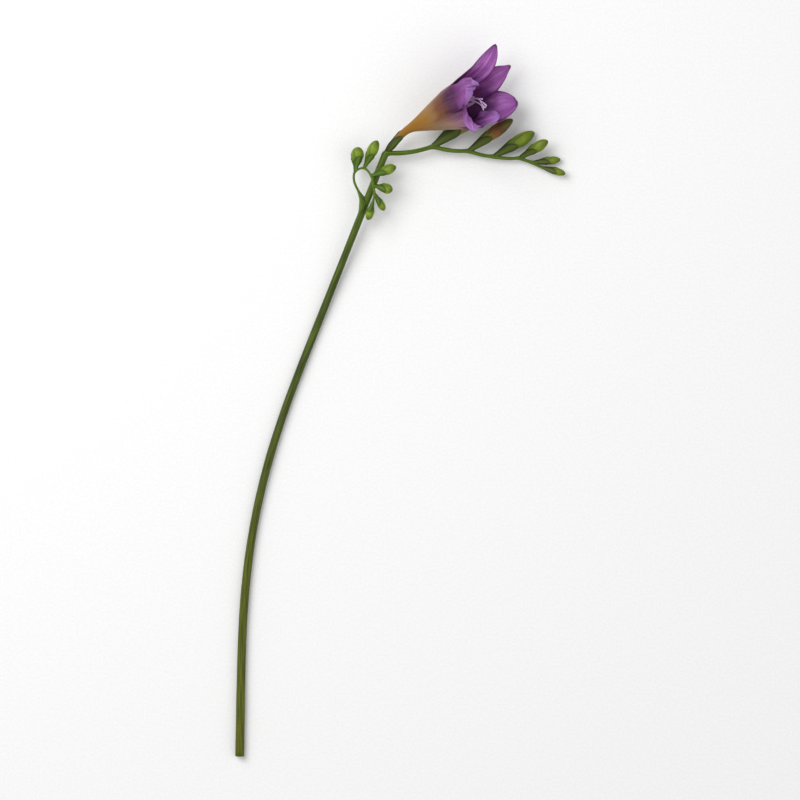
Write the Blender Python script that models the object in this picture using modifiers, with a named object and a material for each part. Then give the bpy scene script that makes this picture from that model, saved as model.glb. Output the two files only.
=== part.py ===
"""A cut freesia stem lying on its side, as it rests on a table.

The slender stem bends sharply under its lowest flower and runs on as a zigzag spike. That lowest flower
is open: a curved funnel tube, six tepals, three stamens and a style. Six buds follow it in two rows, each
smaller than the one before and each held by a pair of green bracts. A small side shoot with six buds of
its own grows from a leaf node just under the bend.

+X and +Y lie along the table, +Y runs from the cut end towards the flowers, and +Z points up from it.
"""

import math
from dataclasses import dataclass

import bmesh
import bpy
from mathutils import Matrix, Vector

MM = 0.001

# Where the cut end lies, so that the origin is under the middle of the whole stem.
CUT_END = Vector((-78.5, -174.4, 0.0)) * MM

# The stem from its cut end to the bend under the flower.
STEM_LENGTH = 307 * MM
STEM_RADIUS_CUT = 2.15 * MM
STEM_RADIUS_BEND = 1.65 * MM
STEM_STEP = 7.5 * MM
STEM_FLAT = math.cos(math.pi / 10)
LEAN_CUT = 1.0
LEAN_TOP = 21.7
LEAN_STARTS = 30 * MM
LEAN_ENDS = 210 * MM
LIFT = 6.3 * MM
LIFT_STARTS = 205 * MM

# The spike past the bend: each internode's length and its heading in degrees above +X.
INTERNODES = ((23.4, 8.0), (17.8, -6.8), (12.5, -12.8), (12.9, -2.6), (6.8, -20.0), (5.4, -28.0))
SPIKE_END_RADIUS = 0.75 * MM
SPIKE_SAG = 0.055
SPIKE_DROP = 3.7
POINTS_PER_INTERNODE = 5

# The gap between pieces that touch, the bracts' thickness and the tepals' thickness.
GAP = 0.32 * MM
BRACT_THICKNESS = 0.36 * MM
TEPAL_THICKNESS = 0.5 * MM
BRACT_START = 0.8 * MM
PEG_RADIUS = 1.1 * MM
BUD_PEG_RADIUS = 0.88 * MM
SHOOT_PEG_RADIUS = 0.5 * MM
PEG_SIDES = 10
PEG_TAPER = 0.85
BRACT_SPREAD = 72.0
BRACT_TURN = -65.0
BRACT_CELLS = 5

# A bud's foot as a share of its radius, and where it is widest as a share of its length.
BUD_FOOT = 0.34
BUD_BELLY = 0.63
BUD_ROWS = 9
BUD_SIDES = 10

# The open flower: its tube follows a bend, and its tepals spread from the throat.
TUBE_LENGTH = 36.5 * MM
TUBE_BASE_RADIUS = 1.6 * MM
TUBE_FLARE = 0.385
TUBE_FLARE_STARTS = 14.2 * MM
TUBE_FLARE_BLEND = 3.0 * MM
TUBE_BEND = (5 * MM, 18 * MM)
TUBE_HEADING = (49.0, 23.5)
TUBE_RISE = (13.0, 18.0)
TUBE_SIDES = 18
TEPAL_SECTOR = 26.0
FLOWER_SEAT = 3.2 * MM
FLOWER_BRACT_LENGTH = 9.5 * MM

# The side shoot: its leaf node on the stem, and its stalk's route from the leaf's axil up and over the stem, in
# millimetres across, along and above the cut end.
SHOOT_NODE = 280.5 * MM
SHOOT_ROUTE = (
    (59.8, 274.3, 7.5),
    (57.5, 277.8, 8.2),
    (56.0, 282.0, 9.0),
    (56.6, 286.0, 10.2),
    (61.0, 287.6, 11.4),
    (64.4, 283.8, 11.8),
    (65.4, 279.2, 11.4),
    (66.0, 275.4, 11.0),
    (65.4, 271.4, 10.6),
)
SHOOT_RADIUS = 0.62 * MM
NODE_LEAF_LENGTH = 10 * MM
NODE_LEAF_SHEATH = 5 * MM

GREEN = (0.09, 0.2, 0.03, 1.0)
DARK_GREEN = (0.045, 0.12, 0.02, 1.0)
PALE_GREEN = (0.25, 0.4, 0.06, 1.0)
OLIVE = (0.2, 0.26, 0.03, 1.0)
VIOLET = (0.28, 0.07, 0.42, 1.0)
AMBER = (0.7, 0.36, 0.04, 1.0)
LILAC = (0.6, 0.42, 0.7, 1.0)


@dataclass(frozen=True)
class Bud:
    """One bud on the spike or the side shoot, in millimetres and degrees."""

    name: str
    length: float
    radius: float
    heading: float
    rise: float
    bract_share: float
    colour: tuple
    seat: float
    route_point: int = 0


@dataclass(frozen=True)
class Tepal:
    """One lobe of the open flower: its place round the throat, its size and how it leans from the axis."""

    name: str
    phase: float
    length: float
    half_width: float
    lean_base: float
    lean_tip: float
    point: float
    twist: float = 0.0


SPIKE_BUDS = (
    Bud("bud_2", 35.0, 4.7, 37.0, -4.6, 0.40, VIOLET, 3.2),
    Bud("bud_3", 26.5, 3.1, 35.5, 9.0, 0.46, OLIVE, 3.2),
    Bud("bud_4", 23.2, 3.2, 30.8, -2.5, 0.50, OLIVE, 3.2),
    Bud("bud_5", 16.5, 2.6, 31.0, 18.0, 0.52, GREEN, 3.0),
    Bud("bud_6", 13.5, 1.95, 6.0, -3.0, 0.55, GREEN, 2.6),
    Bud("bud_7", 11.5, 1.8, -16.0, 6.0, 0.60, GREEN, 2.0),
)

SHOOT_BUDS = (
    Bud("shoot_bud_1", 12.5, 3.2, 82.0, -14.0, 0.50, PALE_GREEN, 2.4, 3),
    Bud("shoot_bud_2", 15.0, 2.7, 64.0, 6.0, 0.50, PALE_GREEN, 2.4, 4),
    Bud("shoot_bud_3", 13.0, 2.5, 20.0, 2.0, 0.52, PALE_GREEN, 2.4, 5),
    Bud("shoot_bud_4", 10.0, 2.5, -14.0, -12.0, 0.52, PALE_GREEN, 2.4, 6),
    Bud("shoot_bud_5", 10.5, 1.8, -60.0, -24.0, 0.52, PALE_GREEN, 2.4, 7),
    Bud("shoot_bud_6", 9.5, 2.0, -106.0, 2.0, 0.55, PALE_GREEN, 1.8, 8),
)

TEPALS = (
    Tepal("outer_tepal_1", -4.0, 34.5, 6.8, 29.0, 13.0, 1.5, 36.0),
    Tepal("inner_tepal_1", -62.0, 33.5, 7.8, 8.0, 25.0, 1.9),
    Tepal("outer_tepal_2", -122.0, 27.5, 9.0, 28.0, 14.0, 2.8),
    Tepal("inner_tepal_2", -178.0, 24.0, 8.6, 9.0, 21.0, 2.8),
    Tepal("outer_tepal_3", 126.0, 20.5, 5.0, 34.0, 84.0, 1.5),
    Tepal("inner_tepal_3", 68.0, 17.5, 7.4, 10.0, -2.0, 2.2),
)

STAMEN_PHASES = (60.0, 180.0, 300.0)
STAMEN_STARTS = 15 * MM
STAMEN_ENDS = 50 * MM
STYLE_STARTS = 1.5 * MM
STYLE_ENDS = 53 * MM
STAMEN_DROOP = 3.4 * MM


def smoothstep(value, low, high):
    """0 below low, 1 above high, and an even S curve between them."""
    x = min(1.0, max(0.0, (value - low) / (high - low)))
    return x * x * (3 - 2 * x)


def direction(heading, rise):
    """The unit vector with that heading in degrees from +X towards +Y, rising by that many degrees."""
    turn, up = math.radians(heading), math.radians(rise)
    return Vector((math.cos(up) * math.cos(turn), math.cos(up) * math.sin(turn), math.sin(up)))


def side_axes(forward):
    """Two unit vectors square to forward: one level and to its left, and one on its upper side."""
    left = Vector((0, 0, 1)).cross(forward).normalized()
    return left, forward.cross(left).normalized()


def material(name, colour, roughness=0.5):
    """A plain material of that colour."""
    made = bpy.data.materials.new(name)
    made.use_nodes = True
    shader = made.node_tree.nodes["Principled BSDF"]
    shader.inputs["Base Color"].default_value = colour
    shader.inputs["Roughness"].default_value = roughness
    shader.inputs["Metallic"].default_value = 0.0
    return made


def place(obj, colour):
    """Gives the object its material and puts it in the freesia's collection."""
    obj.data.materials.append(material(obj.name, colour))
    for collection in obj.users_collection:
        collection.objects.unlink(obj)
    bpy.data.collections["freesia_stem"].objects.link(obj)
    return obj


# The stem

def stem_lean(distance):
    """The stem's lean from +Y towards +X, in degrees, at that distance from the cut end."""
    return LEAN_CUT + (LEAN_TOP - LEAN_CUT) * smoothstep(distance, LEAN_STARTS, LEAN_ENDS)


def stem_height(distance):
    """The height of the stem's middle: it lies on one of its ten flat sides, then lifts towards the bend."""
    return stem_radius(distance) * STEM_FLAT + LIFT * smoothstep(distance, LIFT_STARTS, STEM_LENGTH)


def stem_radius(distance):
    """The stem's radius, which tapers evenly from the cut end to the bend."""
    return STEM_RADIUS_CUT + (STEM_RADIUS_BEND - STEM_RADIUS_CUT) * distance / STEM_LENGTH


def stem_points():
    """Points along the middle of the stem from the cut end to the bend, as (point, radius)."""
    count = round(STEM_LENGTH / STEM_STEP)
    step = STEM_LENGTH / count
    x, y = CUT_END.x, CUT_END.y
    points = [(Vector((x, y, stem_height(0))), stem_radius(0))]
    for i in range(count):
        lean = math.radians(stem_lean((i + 0.5) * step))
        x += step * math.sin(lean)
        y += step * math.cos(lean)
        reached = (i + 1) * step
        points.append((Vector((x, y, stem_height(reached))), stem_radius(reached)))
    return points


def spike_nodes(start):
    """The spike's nodes, from the bend to its tip."""
    nodes = [start]
    for length, heading in INTERNODES:
        nodes.append(nodes[-1] + direction(heading, -SPIKE_DROP) * length * MM)
    return nodes


def spike_points(nodes):
    """Points along the spike's middle, as (point, radius): each internode sags a little between its nodes."""
    points = []
    spans = len(nodes) - 1
    for i in range(spans):
        start, end = nodes[i], nodes[i + 1]
        across = side_axes((end - start).normalized())[0]
        for j in range(1, POINTS_PER_INTERNODE + 1):
            t = j / POINTS_PER_INTERNODE
            sag = 4 * t * (1 - t) * SPIKE_SAG * (end - start).length
            share = (i + t) / spans
            radius = STEM_RADIUS_BEND * 0.84 + (SPIKE_END_RADIUS - STEM_RADIUS_BEND * 0.84) * share
            points.append((start.lerp(end, t) - across * sag, radius))
    return points


def rod(name, points, resolution):
    """A round rod along points given as (point, radius), as a curve with filled caps."""
    curve = bpy.data.curves.new(name, "CURVE")
    curve.dimensions = "3D"
    curve.bevel_depth = 1.0
    curve.bevel_resolution = resolution
    curve.use_fill_caps = True
    spline = curve.splines.new("POLY")
    spline.points.add(len(points) - 1)
    for spot, (point, radius) in zip(spline.points, points):
        spot.co = (*point, 1.0)
        spot.radius = radius
    obj = bpy.data.objects.new(name, curve)
    bpy.context.scene.collection.objects.link(obj)
    return obj


def as_mesh(obj):
    """The curve object made a mesh object of the same name, with its caps welded."""
    graph = bpy.context.evaluated_depsgraph_get()
    mesh = bpy.data.meshes.new_from_object(obj.evaluated_get(graph))
    name, matrix = obj.name, obj.matrix_world.copy()
    bpy.data.objects.remove(obj)
    work = bmesh.new()
    work.from_mesh(mesh)
    bmesh.ops.remove_doubles(work, verts=work.verts, dist=0.00001)
    work.to_mesh(mesh)
    work.free()
    made = bpy.data.objects.new(name, mesh)
    made.matrix_world = matrix
    bpy.context.scene.collection.objects.link(made)
    return made


def add_pegs(body, name, pegs):
    """Joins short round pegs to the body, each given as (node, direction, height, radius)."""
    work = bmesh.new()
    for node, forward, height, radius in pegs:
        turn = forward.to_track_quat("Z", "Y").to_matrix().to_4x4()
        spot = Matrix.Translation(node + forward * height / 2) @ turn
        bmesh.ops.create_cone(
            work,
            cap_ends=True,
            segments=PEG_SIDES,
            radius1=radius,
            radius2=radius * PEG_TAPER,
            depth=height,
            matrix=spot,
        )
    mesh = bpy.data.meshes.new(name)
    work.to_mesh(mesh)
    work.free()
    cutter = bpy.data.objects.new(name, mesh)
    bpy.data.collections["helpers"].objects.link(cutter)
    cutter.hide_render = True
    cutter.display_type = "WIRE"
    union = body.modifiers.new("pegs", "BOOLEAN")
    union.operation = "UNION"
    union.object = cutter
    return body


def build_stem(points, nodes, pegs):
    """The whole stem, from its cut end to the spike's tip, with a seat at each node: it grew as one piece."""
    stem = as_mesh(rod("stem", points + spike_points(nodes), 3))
    place(stem, GREEN)
    return add_pegs(stem, "stem_seats", pegs)


# Shells that wrap a bud or the flower

def grid_shell(name, columns, rows, spot_of, thickness, closed=False):
    """A shell that thickens outwards from the surface spot_of(u, v), for u and v from 0 to 1."""
    work = bmesh.new()
    bmesh.ops.create_grid(work, x_segments=columns, y_segments=rows, size=0.5)
    for vertex in work.verts:
        vertex.co = spot_of(vertex.co.x + 0.5, vertex.co.y + 0.5)
    if closed:
        bmesh.ops.remove_doubles(work, verts=work.verts, dist=0.000001)
    mesh = bpy.data.meshes.new(name)
    work.to_mesh(mesh)
    work.free()
    obj = bpy.data.objects.new(name, mesh)
    bpy.context.scene.collection.objects.link(obj)
    wall = obj.modifiers.new("wall", "SOLIDIFY")
    wall.thickness = abs(thickness)
    wall.offset = 1.0 if thickness > 0 else -1.0
    wall.use_even_offset = False
    mesh.shade_smooth()
    return obj


def build_bracts(name, spot, length, radius_at, colour):
    """A pair of bracts, each a pointed half sheath round a bud whose axis is spot(distance)."""
    for side, part in ((0, "outer"), (1, "inner")):
        middle = math.radians(BRACT_TURN + 180 * side)
        reach = length * (1.0 - 0.16 * side)

        def inner_surface(u, v, middle=middle, reach=reach):
            distance = BRACT_START + v * reach
            point, forward = spot(distance)
            left, upper = side_axes(forward)
            half = math.radians(BRACT_SPREAD) * (1 - 0.72 * v**3)
            angle = middle + (2 * u - 1) * half
            radius = radius_at(distance) + GAP
            return point + (left * math.cos(angle) + upper * math.sin(angle)) * radius

        shell = grid_shell(f"{name}_{part}_bract", BRACT_CELLS, BRACT_CELLS, inner_surface, BRACT_THICKNESS)
        place(shell, colour)


# Buds

def bud_radius(share, bud):
    """A bud's radius at that share of its length: a narrow foot, a swelling body and a blunt tip."""
    swell = BUD_FOOT + (1 - BUD_FOOT) * smoothstep(share, 0.0, BUD_BELLY)
    close = math.sqrt(max(0.0, 1 - smoothstep(share, BUD_BELLY, 1.0) ** 1.15))
    return bud.radius * MM * swell * close


def bud_peg(node, bud, radius):
    """The peg that a bud sits on, as (node, direction, height, radius)."""
    return node, direction(bud.heading, bud.rise), bud.seat * MM - GAP, radius


def build_bud(bud, node):
    """A closed bud, turned about its own axis from its foot to its tip, with its pair of bracts."""
    forward = direction(bud.heading, bud.rise)
    foot = node + forward * bud.seat * MM
    length = (bud.length - bud.seat) * MM
    mesh = bpy.data.meshes.new(bud.name)
    work = bmesh.new()
    shares = [1 - math.cos(math.pi / 2 * i / BUD_ROWS) for i in range(BUD_ROWS + 1)]
    outline = [(bud_radius(1 - s, bud), (1 - s) * length) for s in shares]
    outline[0] = (0.0, length)
    outline.append((0.0, 0.0))
    spots = [work.verts.new((x, 0, z)) for x, z in outline]
    for above, below in zip(spots, spots[1:]):
        work.edges.new((above, below))
    work.to_mesh(mesh)
    work.free()
    body = bpy.data.objects.new(bud.name, mesh)
    bpy.context.scene.collection.objects.link(body)
    body.matrix_world = Matrix.Translation(foot) @ forward.to_track_quat("Z", "Y").to_matrix().to_4x4()
    turn = body.modifiers.new("turn", "SCREW")
    turn.steps = BUD_SIDES
    turn.render_steps = BUD_SIDES
    turn.use_merge_vertices = True
    turn.merge_threshold = 0.00001
    place(body, bud.colour)
    build_bracts(
        bud.name,
        lambda distance: (foot + forward * distance, forward),
        bud.bract_share * length,
        lambda distance: bud_radius(distance / length, bud),
        DARK_GREEN if bud in SPIKE_BUDS else PALE_GREEN,
    )


# The open flower

def tube_radius(distance):
    """The tube's outer radius: narrow in the bracts, then a wide funnel to the throat."""
    past = distance - TUBE_FLARE_STARTS
    return TUBE_BASE_RADIUS + TUBE_FLARE * (math.hypot(past, TUBE_FLARE_BLEND) + past) / 2


def tube_spot(start, distance):
    """The point on the curved axis of the flower at that distance from its foot, and the axis's direction."""
    steps = 24
    point = start.copy()
    for i in range(steps):
        share = smoothstep(distance * (i + 0.5) / steps, *TUBE_BEND)
        point = point + tube_forward(share) * distance / steps
    return point, tube_forward(smoothstep(distance, *TUBE_BEND))


def tube_forward(share):
    """The flower axis's direction at that share of its bend."""
    heading = TUBE_HEADING[0] + (TUBE_HEADING[1] - TUBE_HEADING[0]) * share
    rise = TUBE_RISE[0] + (TUBE_RISE[1] - TUBE_RISE[0]) * share
    return direction(heading, rise)


def build_tube(foot):
    """The funnel tube, open at its throat, that the tepals grow from."""

    def outer_surface(u, v):
        distance = v * TUBE_LENGTH
        point, forward = tube_spot(foot, distance)
        left, upper = side_axes(forward)
        angle = 2 * math.pi * u
        return point + (left * math.cos(angle) + upper * math.sin(angle)) * tube_radius(distance)

    tube = grid_shell("flower_tube", TUBE_SIDES, 10, outer_surface, -TEPAL_THICKNESS, closed=True)
    place(tube, AMBER)


def tepal_half_width(t, tepal):
    """A tepal's half width at that share of its length, from the throat's rim to its tip."""
    base = tube_radius(TUBE_LENGTH) * math.radians(TEPAL_SECTOR) / (tepal.half_width * MM)
    swell = base + (1 - base) * smoothstep(t, 0.0, 0.55)
    close = (1 - smoothstep(t, 0.45, 1.08) ** tepal.point)
    return tepal.half_width * MM * swell * close


def build_tepal(tepal, foot):
    """One tepal, from the throat's rim to its tip: a sheet that is hollow towards the flower's axis."""
    throat, forward = tube_spot(foot, TUBE_LENGTH + GAP)
    left, upper = side_axes(forward)
    phase = math.radians(tepal.phase)
    outward = left * math.cos(phase) + upper * math.sin(phase)
    along_rim = upper * math.cos(phase) - left * math.sin(phase)
    rim = tube_radius(TUBE_LENGTH) - TEPAL_THICKNESS

    def midline(t):
        """The tepal's middle at share t of its length, and its outward face's direction there."""
        steps = 16
        out, up = rim, 0.0
        for i in range(steps):
            lean = lean_at(t * (i + 0.5) / steps)
            out += math.sin(lean) * t / steps * tepal.length * MM
            up += math.cos(lean) * t / steps * tepal.length * MM
        lean = lean_at(t)
        return throat + outward * out + forward * up, outward * math.cos(lean) - forward * math.sin(lean)

    def lean_at(t):
        return math.radians(tepal.lean_base + (tepal.lean_tip - tepal.lean_base) * t)

    def inner_surface(u, v):
        point, facing = midline(v)
        half = tepal_half_width(v, tepal)
        hollow = rim * (1 + 1.3 * v)
        angle = (2 * u - 1) * half / hollow
        twist = math.radians(tepal.twist) * v
        across = along_rim * math.cos(twist) + facing * math.sin(twist)
        away = facing * math.cos(twist) - along_rim * math.sin(twist)
        return point + across * hollow * math.sin(angle) - away * hollow * (1 - math.cos(angle))

    sheet = grid_shell(tepal.name, 6, 8, inner_surface, TEPAL_THICKNESS)
    place(sheet, VIOLET)


def inner_path(foot, distance):
    """The line that the style follows inside the flower: the tube's axis, drooping a little at the end."""
    point, forward = tube_spot(foot, distance)
    left, upper = side_axes(forward)
    return point - left * STAMEN_DROOP * smoothstep(distance, 18 * MM, STYLE_ENDS), left, upper


def build_stamens_and_style(foot):
    """Three stamens from the tube's wall, their anthers round the style, which reaches past them."""
    for number, phase_degrees in enumerate(STAMEN_PHASES, 1):
        phase = math.radians(phase_degrees)
        points = []
        for i in range(11):
            share = i / 10
            distance = STAMEN_STARTS + (STAMEN_ENDS - STAMEN_STARTS) * share
            point, left, upper = inner_path(foot, distance)
            at_wall = tube_radius(STAMEN_STARTS) - TEPAL_THICKNESS - GAP - 0.25 * MM
            from_axis = at_wall + (1.65 * MM - at_wall) * smoothstep(share, 0.0, 0.6)
            out = left * math.cos(phase) + upper * math.sin(phase)
            anther = 0.75 if 0.68 < share < 0.97 else 0.28
            points.append((point + out * from_axis, anther * MM))
        place(rod(f"stamen_{number}", points, 1), LILAC)
    points = []
    for i in range(13):
        share = i / 12
        point, _, _ = inner_path(foot, STYLE_STARTS + (STYLE_ENDS - STYLE_STARTS) * share)
        points.append((point, (0.45 - 0.12 * share) * MM))
    place(rod("style", points, 1), LILAC)


def build_flower(node):
    """The open flower on its node: bracts, tube, tepals, stamens and style."""
    foot = node + tube_forward(0) * FLOWER_SEAT
    build_tube(foot)
    for tepal in TEPALS:
        build_tepal(tepal, foot)
    build_stamens_and_style(foot)
    build_bracts(
        "flower", lambda distance: tube_spot(foot, distance), FLOWER_BRACT_LENGTH, tube_radius, DARK_GREEN
    )


# The side shoot

def shoot_frame(points):
    """The leaf node's point on the stem, the stem's direction there, and the level direction to its left."""
    index = round(SHOOT_NODE / STEM_LENGTH * (len(points) - 1))
    forward = (points[index + 1][0] - points[index - 1][0]).normalized()
    return points[index][0], forward, side_axes(forward)[0]


def smooth_route(route, steps):
    """Points along a smooth line through the route's points, that many to each span."""
    spans = len(route) - 1
    points = []
    for i in range(spans):
        before, start, end, after = route[max(0, i - 1)], route[i], route[i + 1], route[min(spans, i + 2)]
        for j in range(steps):
            t = j / steps
            bend = (end - before) * t + (2 * before - 5 * start + 4 * end - after) * t * t
            points.append(start + 0.5 * (bend + (3 * start - before - 3 * end + after) * t**3))
    return points + [route[-1]]


def build_side_shoot(points):
    """The side shoot from the leaf's axil: a thin stalk that arches over the stem, with buds on its back."""
    node, forward, left = shoot_frame(points)
    route = [CUT_END + Vector(spot) * MM for spot in SHOOT_ROUTE]
    line = smooth_route(route, 3)
    tapered = [(spot, SHOOT_RADIUS * (1 - 0.2 * i / (len(line) - 1))) for i, spot in enumerate(line)]
    stalk = as_mesh(rod("side_shoot_stalk", tapered, 2))
    place(stalk, PALE_GREEN)
    pegs = [bud_peg(route[bud.route_point], bud, SHOOT_PEG_RADIUS) for bud in SHOOT_BUDS]
    add_pegs(stalk, "shoot_seats", pegs)
    for bud in SHOOT_BUDS:
        build_bud(bud, route[bud.route_point])
    build_node_leaf(node, forward, left)


def build_node_leaf(node, forward, left):
    """The small leaf whose sheath clasps the stem under the side shoot."""
    upper = side_axes(forward)[1]
    radius = stem_radius(SHOOT_NODE) + GAP

    def inner_surface(u, v):
        distance = v * NODE_LEAF_LENGTH
        past = max(0.0, distance - NODE_LEAF_SHEATH)
        half = math.radians(80) * (1 - 0.80 * v**2)
        angle = math.radians(8) + (2 * u - 1) * half
        flat = radius * (1 + 0.4 * v)
        out = left * math.cos(angle) + upper * math.sin(angle)
        start = node - forward * NODE_LEAF_SHEATH
        return start + forward * distance + out * flat + left * past * 0.75

    leaf = grid_shell("node_leaf", 6, 6, inner_surface, BRACT_THICKNESS)
    place(leaf, PALE_GREEN)


def main():
    """Clears the scene and builds the freesia stem."""
    for obj in list(bpy.data.objects):
        bpy.data.objects.remove(obj)
    for name in ("freesia_stem", "helpers"):
        bpy.context.scene.collection.children.link(bpy.data.collections.new(name))
    points = stem_points()
    nodes = spike_nodes(points[-1][0])
    pegs = [(nodes[0], tube_forward(0), FLOWER_SEAT - GAP, PEG_RADIUS)]
    pegs += [bud_peg(node, bud, BUD_PEG_RADIUS) for node, bud in zip(nodes[1:], SPIKE_BUDS)]
    build_stem(points, nodes, pegs)
    build_flower(nodes[0])
    for node, bud in zip(nodes[1:], SPIKE_BUDS):
        build_bud(bud, node)
    build_side_shoot(points)


main()
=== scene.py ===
"""The looks of a cut freesia stem lying on its side: skin, sheaths, folded buds, the open violet flower and a side
shoot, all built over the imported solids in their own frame."""

import logging
import math
from dataclasses import dataclass, field
from enum import Enum
from typing import Sequence

import bmesh
import bpy
import numpy as np
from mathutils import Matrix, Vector


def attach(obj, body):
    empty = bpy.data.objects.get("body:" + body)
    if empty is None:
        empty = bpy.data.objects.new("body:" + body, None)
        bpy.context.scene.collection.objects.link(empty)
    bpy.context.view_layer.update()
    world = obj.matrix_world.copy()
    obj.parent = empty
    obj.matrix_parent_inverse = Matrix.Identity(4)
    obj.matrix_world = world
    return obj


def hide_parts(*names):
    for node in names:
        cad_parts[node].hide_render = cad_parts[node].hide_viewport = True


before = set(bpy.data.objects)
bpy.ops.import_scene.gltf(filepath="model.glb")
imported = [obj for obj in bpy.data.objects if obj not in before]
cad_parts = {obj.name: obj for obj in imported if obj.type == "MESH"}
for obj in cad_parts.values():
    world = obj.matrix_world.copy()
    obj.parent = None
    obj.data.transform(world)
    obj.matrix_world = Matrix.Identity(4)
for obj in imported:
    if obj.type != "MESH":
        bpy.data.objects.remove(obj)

Level = float | np.ndarray
Colour = tuple[float, float, float]
Stops = tuple[tuple[float, Colour], ...]
Socket = bpy.types.NodeSocket

LOG = logging.getLogger("freesia")
MM = 0.001
ROOT = "root"
MAP = "UVMap"
LOBE_MAP = "Lobe"
ROUND_MAP = "Round"
# Where the middle of the stem's cut end is in the frame.
CUT_END = np.array([-78.5, -174.4, 0.0]) * MM
# How far the seams of a folded bud wind round it, in thirds of a turn.
BUD_TWIST = 0.7
# The throat's place on the petals' length map.
THROAT = 0.51
# Places on the map round the tube: where the three near lobes end, and the seam along which the inner side darkens
# towards the lobes' bases.
FRONT_ENDS = -150.0 / 360.0
DARK_SEAM = -98.0 / 360.0
# How near two points of a folded or joined surface are made one, and the area under which a face is left out.
SEAM_WELD = 2e-6
SPECK = 1e-13


class Lap(Enum):
    """The two sheaths of a pair: the outer one laps over the inner."""

    OUTER = 0
    INNER = 1

    @property
    def part(self) -> str:
        """Its word in a piece's name."""
        return self.name.lower()

    @property
    def keel(self) -> float:
        """Where its keel runs, in radians round the bud or the tube."""
        return math.radians(-65 + 180 * self.value)


# Plain geometry


def ease(value: Level, low: float, high: float) -> Level:
    """An even S curve from 0 at low to 1 at high.

    Args:
        value: A number or an array.
        low: Where the curve leaves 0.
        high: Where the curve reaches 1.

    Returns:
        The curve's height, with the shape of value.
    """
    x = np.clip((value - low) / (high - low), 0.0, 1.0)
    return x * x * (3 - 2 * x)


def hump(value: Level, middle: float, width: float) -> Level:
    """A bell curve of height 1 round middle."""
    return np.exp(-(((value - middle) / width) ** 2))


def through(values: Sequence, share: np.ndarray) -> np.ndarray:
    """A smooth curve through evenly spaced values.

    Args:
        values: What the curve passes through, numbers or points.
        share: Where to read it, from 0 at the first value to 1 at the last.

    Returns:
        The curve there: a number or a point for each share.
    """
    spots = np.asarray(values, float)
    last = len(spots) - 1
    place = np.clip(share, 0, 1) * last
    index = np.minimum(place.astype(int), last - 1)
    t = (place - index).reshape(place.shape + (1,) * (spots.ndim - 1))
    before, start, end, after = (spots[np.clip(index + k, 0, last)] for k in (-1, 0, 1, 2))
    bend = 2 * before - 5 * start + 4 * end - after
    return start + 0.5 * t * (end - before + t * (bend + t * (3 * (start - end) + after - before)))


def unit(vectors: np.ndarray) -> np.ndarray:
    """The vectors at length 1."""
    return vectors / np.linalg.norm(vectors, axis=-1, keepdims=True)


def direction(heading: Level, rise: Level) -> np.ndarray:
    """Unit vectors by heading above +X and rise off the table.

    Args:
        heading: Degrees from +X towards +Y, a number or an array.
        rise: Degrees up from the table, a number or an array.

    Returns:
        An array of shape (..., 3).
    """
    turn, lift = np.radians(heading), np.radians(rise)
    return np.stack([np.cos(lift) * np.cos(turn), np.cos(lift) * np.sin(turn), np.sin(lift) + 0 * turn], -1)


def side_axes(forward: np.ndarray) -> tuple[np.ndarray, np.ndarray]:
    """The level direction to the left of each forward vector, and the one on its upper side."""
    left = unit(np.cross(np.array([0.0, 0.0, 1.0]), forward))
    return left, np.cross(forward, left)


def turned(first: np.ndarray, second: np.ndarray, angle: Level) -> np.ndarray:
    """The directions at an angle from the first vectors towards the second.

    Args:
        first: Unit vectors.
        second: Unit vectors at right angles to them.
        angle: Radians, of the vectors' shape without its last number, or of one that spreads over it.

    Returns:
        Unit vectors.
    """
    return first * np.cos(angle)[..., None] + second * np.sin(angle)[..., None]


@dataclass
class Line:
    """A line through space that a stalk, a bud or the flower follows.

    Attributes:
        points: Its points, one row each, in metres.
    """

    points: np.ndarray

    @property
    def reach(self) -> np.ndarray:
        """The distance of each point from the start."""
        steps = np.linalg.norm(np.diff(self.points, axis=0), axis=1)
        return np.concatenate([[0.0], np.cumsum(steps)])

    def at(self, distance: Level) -> np.ndarray:
        """The points at those distances from the start."""
        reach = self.reach
        return np.stack([np.interp(distance, reach, self.points[:, i]) for i in range(3)], -1)

    def nearest(self, spot: np.ndarray) -> float:
        """The distance from the start of the point nearest the spot."""
        return self.reach[np.argmin(np.linalg.norm(self.points - spot, axis=1))]

    def rounded(self, step: float, width: float) -> "Line":
        """The line with its corners eased.

        Args:
            step: The spacing of the new points.
            width: How far a corner's rounding spreads.

        Returns:
            A new line with the same two ends.
        """
        length = self.reach[-1]
        points = self.at(np.linspace(0, length, int(length / step) + 1))
        half = int(4 * width / step)
        kernel = np.exp(-0.5 * (np.arange(-half, half + 1) * step / width) ** 2)
        kernel /= kernel.sum()
        before = 2 * points[0] - points[half:0:-1]
        after = 2 * points[-1] - points[-2 : -half - 2 : -1]
        padded = np.concatenate([before, points, after])
        eased = np.stack([np.convolve(padded[:, i], kernel, "valid") for i in range(3)], -1)
        eased[0], eased[-1] = points[0], points[-1]
        return Line(eased)

    def frames(self) -> tuple[np.ndarray, np.ndarray, np.ndarray]:
        """The forward, left and upper directions at each point."""
        forward = unit(np.gradient(self.points, axis=0))
        return forward, *side_axes(forward)


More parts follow.
